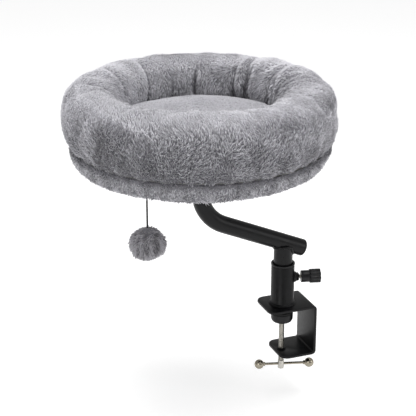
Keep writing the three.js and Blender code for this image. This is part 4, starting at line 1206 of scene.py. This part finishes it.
# %% Bolster fur
def bolster_fur(name, low_turn, high_turn, where, facing, shares, creases, rng):
    turn = about_bed(where)[0] % (2 * np.pi)
    pick = (turn >= low_turn) & (turn < high_turn) & (facing[:, 2] > -0.9)
    where, facing, turn, share, crease = (
        values[pick] for values in (where, facing, turn, shares, creases))
    count, degrees = len(where), np.degrees(turn)
    _, around = ways_at(turn)
    away = turns_off(turn, FRONT)
    # How ruffled it is: the outer wall most, its left flank least, and the back's inner wall
    front = 1 - ease(30, 80, -away) * 0.75 - ease(28, 52, away) * 0.6
    front += 0.55 * ease(120, 150, np.abs(away))
    outer = ease(0.16, 0.5, -share) * front
    back = ease(95, 108, degrees) * (1 - ease(185, 200, degrees))
    inner = ease(0.12, 0.34, share) * (0.75 - 0.45 * back)
    ruffle = np.clip((0.14 + 0.86 * np.maximum(outer, inner))
                     * (1 + 0.2 * soft_noise(where, 24, 8)), 0.05, 1.1)
    swirl = (0.25 + 0.75 * ruffle) * 0.55 * soft_noise(where, 24, 5)
    # The front was brushed to the left over its crest, and to the right lower down
    edge, seen = -0.42 + 0.2 * ease(15, 60, -away), 1 - ease(95, 125, np.abs(away))
    high = ease(-0.06, 0.06, share - edge)
    low_way = 0.5 * (1 - ease(5, 25, away)) - 0.3 * ease(25, 45, away)
    high_way = -0.5 - 0.5 * ease(20, 45, away)
    brushed = 0.2 + seen * (high_way * high + low_way * (1 - high) - 0.2)
    angle = brushed + swirl + rng.normal(size=count) * (0.1 + 0.18 * ruffle)
    # The pile runs one way: up the outer wall, in over the crest and down the inner wall
    meridian = np.cross(facing, around)
    comb = meridian * np.cos(angle)[:, None] + around * np.sin(angle)[:, None]
    rim = ease(0.82, 0.97, -share)
    length = (4.2 + 4.6 * ruffle) * (0.75 + 0.5 * rng.random(count))
    length *= (1 - 0.6 * crease) * (1 - 0.6 * rim)
    width = 0.8 + 0.45 * rng.random(count)
    lean = 66 - 24 * ruffle + 8 * rng.normal(size=count) - 14 * rim
    bow = 10 + 10 * ruffle * rng.random(count)
    # Fibres lie in narrow locks that share a tone, and the right flank has longer streaks
    along = share * 100
    slant = np.where(share > edge, 0.7, np.where(away < 15, -0.7, 0.2))
    locks = soft_noise(np.stack([turn * 180 + slant * along, along / 3.5, 0 * turn], 1), 4, 10)
    streaks = soft_noise(np.stack([turn * 180, along / 7, 0 * turn], 1), 8, 16)
    streaks *= ease(30, 60, away) * (1 - ease(100, 130, away)) * ease(0.1, 0.3, -share)
    tone = 0.6 + 0.08 * soft_noise(where, 14, 9) + (0.08 + 0.24 * ruffle) * rng.normal(size=count)
    # Painted light: the back's inner wall is lighter partway down, where light from above falls
    # on it.
    tone += 0.2 * back * ease(0.2, 0.5, share) * (1 - ease(0.6, 0.9, share))
    tone += 0.16 * ruffle * locks + 0.12 * streaks
    # Painted light: the crest is lighter, most at the back and at the right, where it turns to
    # the light.
    far_side = ease(95, 130, np.abs(away))
    on_crest = hump(share, -0.06, 0.3 + 0.2 * far_side * (share > 0))
    tone += on_crest * (0.5 * far_side + 0.07 * (1 - ease(30, 60, np.abs(away)))
                        + 0.2 * hump(away, 92, 26))
    # Painted shade: darker in the creases, in the ruffled pile, and along the seam at the foot of
    # the outer wall.
    tone -= 1.3 * crease + 0.1 * ruffle + 0.9 * ease(0.92, 0.98, -share)
    return fur_patch(name, "mast", where, facing, comb, length, width,
                     np.clip(lean, 8, 74), bow, shade_of(tone), fur_shades)


rng = np.random.default_rng(11)
where, facing, at_roots = roots_on(bolster, 1.55, rng)
shares, creases = at_roots(share), at_roots(crease)
for i in range(6):
    bolster_fur(f"bolster_fur_{i + 1}", i * math.pi / 3, (i + 1) * math.pi / 3,
                where, facing, shares, creases, rng)

# %% [markdown]
# ## Base cover
# A cover of the same fur is drawn round the base: a flat underside, a rounded lower edge and a
# band that is gathered into the bolster's seam. It could be one shell with thickness, but here
# the inside shows nowhere, so its wall is turned as a closed ring of a profile, the screws'
# holes are cut, and the gathers and the one side seam are pressed into the band.

# %% Base cover cloth
COVER = [
    (5, 250.0), (60, 250.0), (120, 250.0), (150, 250.0), (163.0, 250.0), (166.9, 251.2),
    (169.4, 254.0), (171.6, 258.0), (174.2, 262.0), (176.6, 266.0), (178.2, 269.6),
    (177.8, 272.6), (175.0, 274.4), (172.6, 274.2), (173.4, 270.0), (172.0, 266.0),
    (169.4, 261.0), (167.6, 257.0), (166.2, 253.0), (163.0, 252.0), (120, 252.0), (60, 252.0),
    (5, 252.0)]
SIDE_SEAM = 264.6  # the turn of the cover's one upright seam
SCREW_HOLE_RADIUS, SEAM_RADIUS = 3.5, 174
cover = place(turned(COVER, sides=256), over_bed())
for x, y in screw_places:
    start_piece()
    bpy.ops.mesh.primitive_cylinder_add(
        vertices=24, radius=SCREW_HOLE_RADIUS * MM, depth=12 * MM,
        location=((BED_X + x) * MM, y * MM, 251 * MM))
    combine(cover, bpy.context.object, "DIFFERENCE")
places, _ = mesh_points(cover)
turn, radius = about_bed(places)
outward, _ = ways_at(turn)
on_band = ease(160, 169, radius)
gather = np.sin(turn * 37 + 2.2 * np.sin(turn * 5 + 1)) * ease(258, 275, places[:, 2])
sag = 1.1 * soft_noise(places, 34, 21) + 0.5 * soft_noise(places, 13, 22)


def off_seam_at(turn):
    """How far round from the cover's side seam, in millimetres."""
    return np.radians(turns_off(turn, SIDE_SEAM)) * SEAM_RADIUS


off_seam = off_seam_at(turn)
groove = 2.6 * hump(off_seam, 0, 2.6) - 0.9 * hump(np.abs(off_seam), 8, 5)
places += outward * (on_band * (0.9 * gather + sag - groove))[:, None]
low = (1 - ease(252, 256, places[:, 2])) * ease(60, 100, radius)
places[:, 2] += low * (0.8 * soft_noise(places, 60, 23) - 0.2)
# It flares at its sides, less at the left of the back, and sags most at the left
side = 1 - lifts(turn, [(1, FRONT, 55)])
flare = 3.4 * side * ease(251, 260, places[:, 2]) * ease(163, 168, radius)
flare *= 1 - ease(261, 269, places[:, 2]) * lifts(turn, [(0.6, 165, 30)])
places += outward * flare[:, None]
sag = 1.6 + lifts(turn, [(1.6, 195, 45)])
places[:, 2] -= sag * ease(138, 164, radius) * (1 - ease(250, 262, places[:, 2]))
move_points(cover, places)
hand_over(cover, "gathered_base_cover", "mast", "grey_plush", ["base_cover"], 180)

# %% Base cover fur
UNDER_SHARE = 0.6  # the underside, which hardly shows, gets fewer and wider tufts
rng = np.random.default_rng(12)
where, facing, _ = roots_on(cover, 1.75, rng)
turn, radius = about_bed(where)
outward, around = ways_at(turn)
outer = (facing * outward).sum(1) > 0.25
below = (facing[:, 2] < -0.6) & (where[:, 2] < 251.5) & (radius > 53)
pick = (outer & (radius > 165) & (where[:, 2] < 274)) | below
off_toy = np.hypot(where[:, 0] - TOY_X, where[:, 1] - TOY_Y) > 3
pick &= off_toy & (outer | (rng.random(len(where)) < UNDER_SHARE))
where, facing, outward, around, turn = (
    values[pick] for values in (where, facing, outward, around, turn))
count = len(where)
band = facing[:, 2] > -0.6
angle = 0.9 * soft_noise(where, 13, 31) + 0.55 * rng.normal(size=count)
fall = np.where(band[:, None], [[0, 0, -1.0]], outward)
comb = fall * np.cos(angle)[:, None] + around * np.sin(angle)[:, None]
hanging = band * (1 - ease(252, 259, where[:, 2]))
length = np.where(band, 5.0 - 1.8 * ease(262, 272, where[:, 2]) + 2.6 * hanging, 4.2)
length *= 0.75 + 0.5 * rng.random(count)
lean = np.clip(46 + 22 * hanging + 12 * rng.normal(size=count), 10, 78)
# Painted shade: darker along the side seam's groove, and at the band's top under the bolster's
# overhang.
seam_shade = 0.25 * hump(off_seam_at(turn), 0, 3) * band + 0.7 * ease(267, 273, where[:, 2])
tone = 0.55 - seam_shade + 0.2 * soft_noise(where, 12, 32) + 0.27 * rng.normal(size=count)
shade = shade_of(tone)
for name, part, width in (("cover_band_fur", band, 1.0), ("cover_under_fur", ~band, 1.35)):
    fur_patch(name, "mast", where[part], facing[part], comb[part], length[part],
              width + 0.5 * rng.random(part.sum()), lean[part], 24 * rng.random(part.sum()),
              shade[part], fur_shades)

# %% [markdown]
# ## Seat cushion and foam
# The floor is a round pillow of short velvety pile, crowned in the middle and drawn in at the
# welt round its side. Under it lies a plain foam disc, which hardly shows. The pillow is turned
# to its profile and then blown up as cloth, so that its skin is taut over the filling as a sewn
# pillow's is, and its top gets the shallow hollows that hands leave in it.

# %% Foam disc
finishes["white_foam"], tree, shader, at = new_material(
    "open_cell_polyurethane_foam", Roughness=0.95)
cells = pattern(tree, "Voronoi", at, 1.6).outputs["Distance"]
two_tone(tree, shader, cells, "#d8d5ca", "#f0eee6")
relief(tree, shader, cells, 0.5, 0.4)
foam_low, foam_high = (corner / MM for corner in map(np.array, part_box("base_foam")))
foam_radius = (foam_high[0] - foam_low[0]) / 2
foam = turned(rounded([
    (5, foam_low[2]), (foam_radius, foam_low[2]), (foam_radius, foam_high[2]),
    (5, foam_high[2])], 2.5, 4), sides=128)
hand_over(place(foam, over_bed()), "cut_foam_disc", "mast", "white_foam", ["base_foam"])

# %% Seat cushion cloth
CUSHION = [
    (5, 277.0), (40, 277.0), (75, 277.0), (98, 277.2), (105.5, 278.6), (108.2, 282.0),
    (109.0, 286.0), (107.4, 290.4), (109.0, 295.0), (109.2, 300.0), (108.2, 304.6),
    (105.0, 307.8), (99.0, 309.4), (92, 310.4), (84, 311.2), (76, 311.9), (68, 312.4),
    (59, 312.9), (50, 313.2), (40, 313.5), (30, 313.7), (20, 313.9), (12, 314.0), (5, 314.0)]
WELT = 290.4
cushion = place(turned(CUSHION, sides=160), over_bed())
places, normals = mesh_points(cushion)
_, radius = about_bed(places)
at_welt = hump(places[:, 2], WELT, 3) * ease(100, 106, radius)
places[:, 2] += 1.5 * ease(292, 300, places[:, 2])
move_points(cushion, places)
held = np.maximum(1 - ease(277.5, 283, places[:, 2]), at_welt)
places += blow_up(cushion, held, 5, 3, 0.01)
turn, radius = about_bed(places)
free = ease(295, 304, places[:, 2])
draw = np.sin(turn * 26 + 2 * np.sin(turn * 3)) * hump(places[:, 2], WELT, 9)
lumps = 1.3 * soft_noise(places, 60, 41) + 0.6 * soft_noise(places, 24, 42)
places += normals * (lumps * free + 0.5 * draw * ease(98, 106, radius))[:, None]
places[:, 2] = np.maximum(places[:, 2], 276.4)
move_points(cushion, places)
hand_over(cushion, "crowned_seat_cushion", "mast", "pale_plush", ["seat_cushion"], 180)

# %% Seat cushion pile
velvet_shades = fibre_shades(
    "velvet", "#7f7e84", "#8f8e94", "#9f9ea4", "#adacb2", "#bbbac0")
rng = np.random.default_rng(13)
where, facing, _ = roots_on(cushion, 1.7, rng)
pick = (facing[:, 2] > 0.05) & (where[:, 2] > 296)
where, facing = where[pick], facing[pick]
count = len(where)
angle = math.radians(-35) + 0.5 * soft_noise(where, 40, 43) + 0.3 * rng.normal(size=count)
comb = np.stack([np.cos(angle), np.sin(angle), 0 * angle], 1)
tone = 0.62 + 0.1 * soft_noise(where, 26, 44) + 0.05 * rng.normal(size=count)
length = 2.9 * (0.8 + 0.4 * rng.random(count))
width = 1.2 + 0.5 * rng.random(count)
lean = np.clip(75 + 4 * rng.normal(size=count), 30, 84)
fur_patch("cushion_pile", "mast", where, facing, comb, length, width, lean,
          5 * rng.random(count), shade_of(tone), velvet_shades)

# %% [markdown]
# ## Pom-pom
# The toy is a ball of the same fibre, cut round and tied on the cord's end. Its core is a ball
# that is flattened a little and pulled out of round. Its tufts are longer than the bed's and hang
# like hair from the cord's end, in locks that share a tone, so that its edge is ragged. Its
# shades are darker than the bed's, and darker towards its top, as painted shade under the bed.

# %% Pom-pom
CORE_RADIUS, FLATTENED = 21, 0.94
ball_low, ball_high = (corner / MM for corner in map(np.array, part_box("pom_pom")))
ball_middle = (ball_low + ball_high) / 2
start_piece()
bpy.ops.mesh.primitive_ico_sphere_add(
    subdivisions=5, radius=CORE_RADIUS * MM, location=Vector(ball_middle) * MM)
pom_pom = bpy.context.object
bpy.ops.object.transform_apply(location=True)
places, normals = mesh_points(pom_pom)
lumps = 0.7 * soft_noise(places, 14, 51) + 0.4 * soft_noise(places, 6, 52)
places += unit(places - ball_middle) * lumps[:, None]
places[:, 2] = ball_middle[2] + FLATTENED * (places[:, 2] - ball_middle[2])
move_points(pom_pom, places)
hand_over(pom_pom, "fibre_pom_pom", "toy", "grey_plush", ["pom_pom"], 180)
rng = np.random.default_rng(14)
where, facing, _ = roots_on(pom_pom, 1.2, rng)
pick = (np.hypot(where[:, 0] - TOY_X, where[:, 1] - TOY_Y) > 3.5) | (
    where[:, 2] < ball_middle[2])
where, facing = where[pick], facing[pick]
where[:, 2] = ball_middle[2] + FLATTENED * (where[:, 2] - ball_middle[2])
count = len(where)
angle = 0.8 * soft_noise(where, 15, 53) + 0.3 * rng.normal(size=count)
level = unit(np.cross(facing, [[0.02, 0.01, 1.0]]))
comb = level * np.sin(angle)[:, None] + np.cross(level, facing) * -np.cos(angle)[:, None]
locks = soft_noise(where / [[1, 1, 3.5]], 4, 54)
tone = 0.54 + 0.29 * locks + 0.15 * rng.normal(size=count)
# Painted shade: the ball is darker towards its top, which lies under the bed.
tone -= 0.006 * (where[:, 2] - ball_middle[2])
length = 8.4 * (0.75 + 0.5 * rng.random(count)) * (1 - 0.25 * np.abs(facing[:, 2]))
fur_patch("pom_pom_fur", "toy", where, facing, comb, length, 0.95 + 0.4 * rng.random(count),
          np.clip(48 + 7 * locks + 9 * rng.normal(size=count), 5, 75),
          26 * rng.random(count), shade_of(tone), toy_fibre_in_shade)

# %% [markdown]
# ## Hidden pieces
# The board, its tee nuts and the post's foot plug hardly show, and their CAD shapes are right,
# so they only get their materials: birch plywood with rings of grain, zinc plate and plastic.

# %% Board, tee nuts and foot plug
birch_plywood, tree, shader, at = new_material("sanded_birch_plywood", Roughness=0.6)
stretch = add_node(tree, "ShaderNodeMapping", {"Vector": at, "Scale": (0.12, 1.0, 1.0)})
grain = pattern(tree, "Noise", stretch.outputs["Vector"], 3.0, Detail=6.0).outputs["Fac"]
plies = pattern(tree, "Wave", at, 9.5)
plies.bands_direction = "Z"
both = add_node(tree, "ShaderNodeMath", {0: grain, 1: plies.outputs["Fac"]},
                operation="MULTIPLY")
two_tone(tree, shader, both.outputs[0], "#c39a66", "#e3c393")
relief(tree, shader, grain, 0.2, 0.2)
kept = {"base_board": birch_plywood, "post_foot_plug": finishes["black_plastic"]}
kept.update({f"tee_nut_{i}": finishes["zinc_steel"] for i in range(1, 5)})
for name, material in kept.items():
    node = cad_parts[name]
    node.data.materials.clear()
    node.data.materials.append(material)
    print(name, "keeps its shape and gets", material.name)
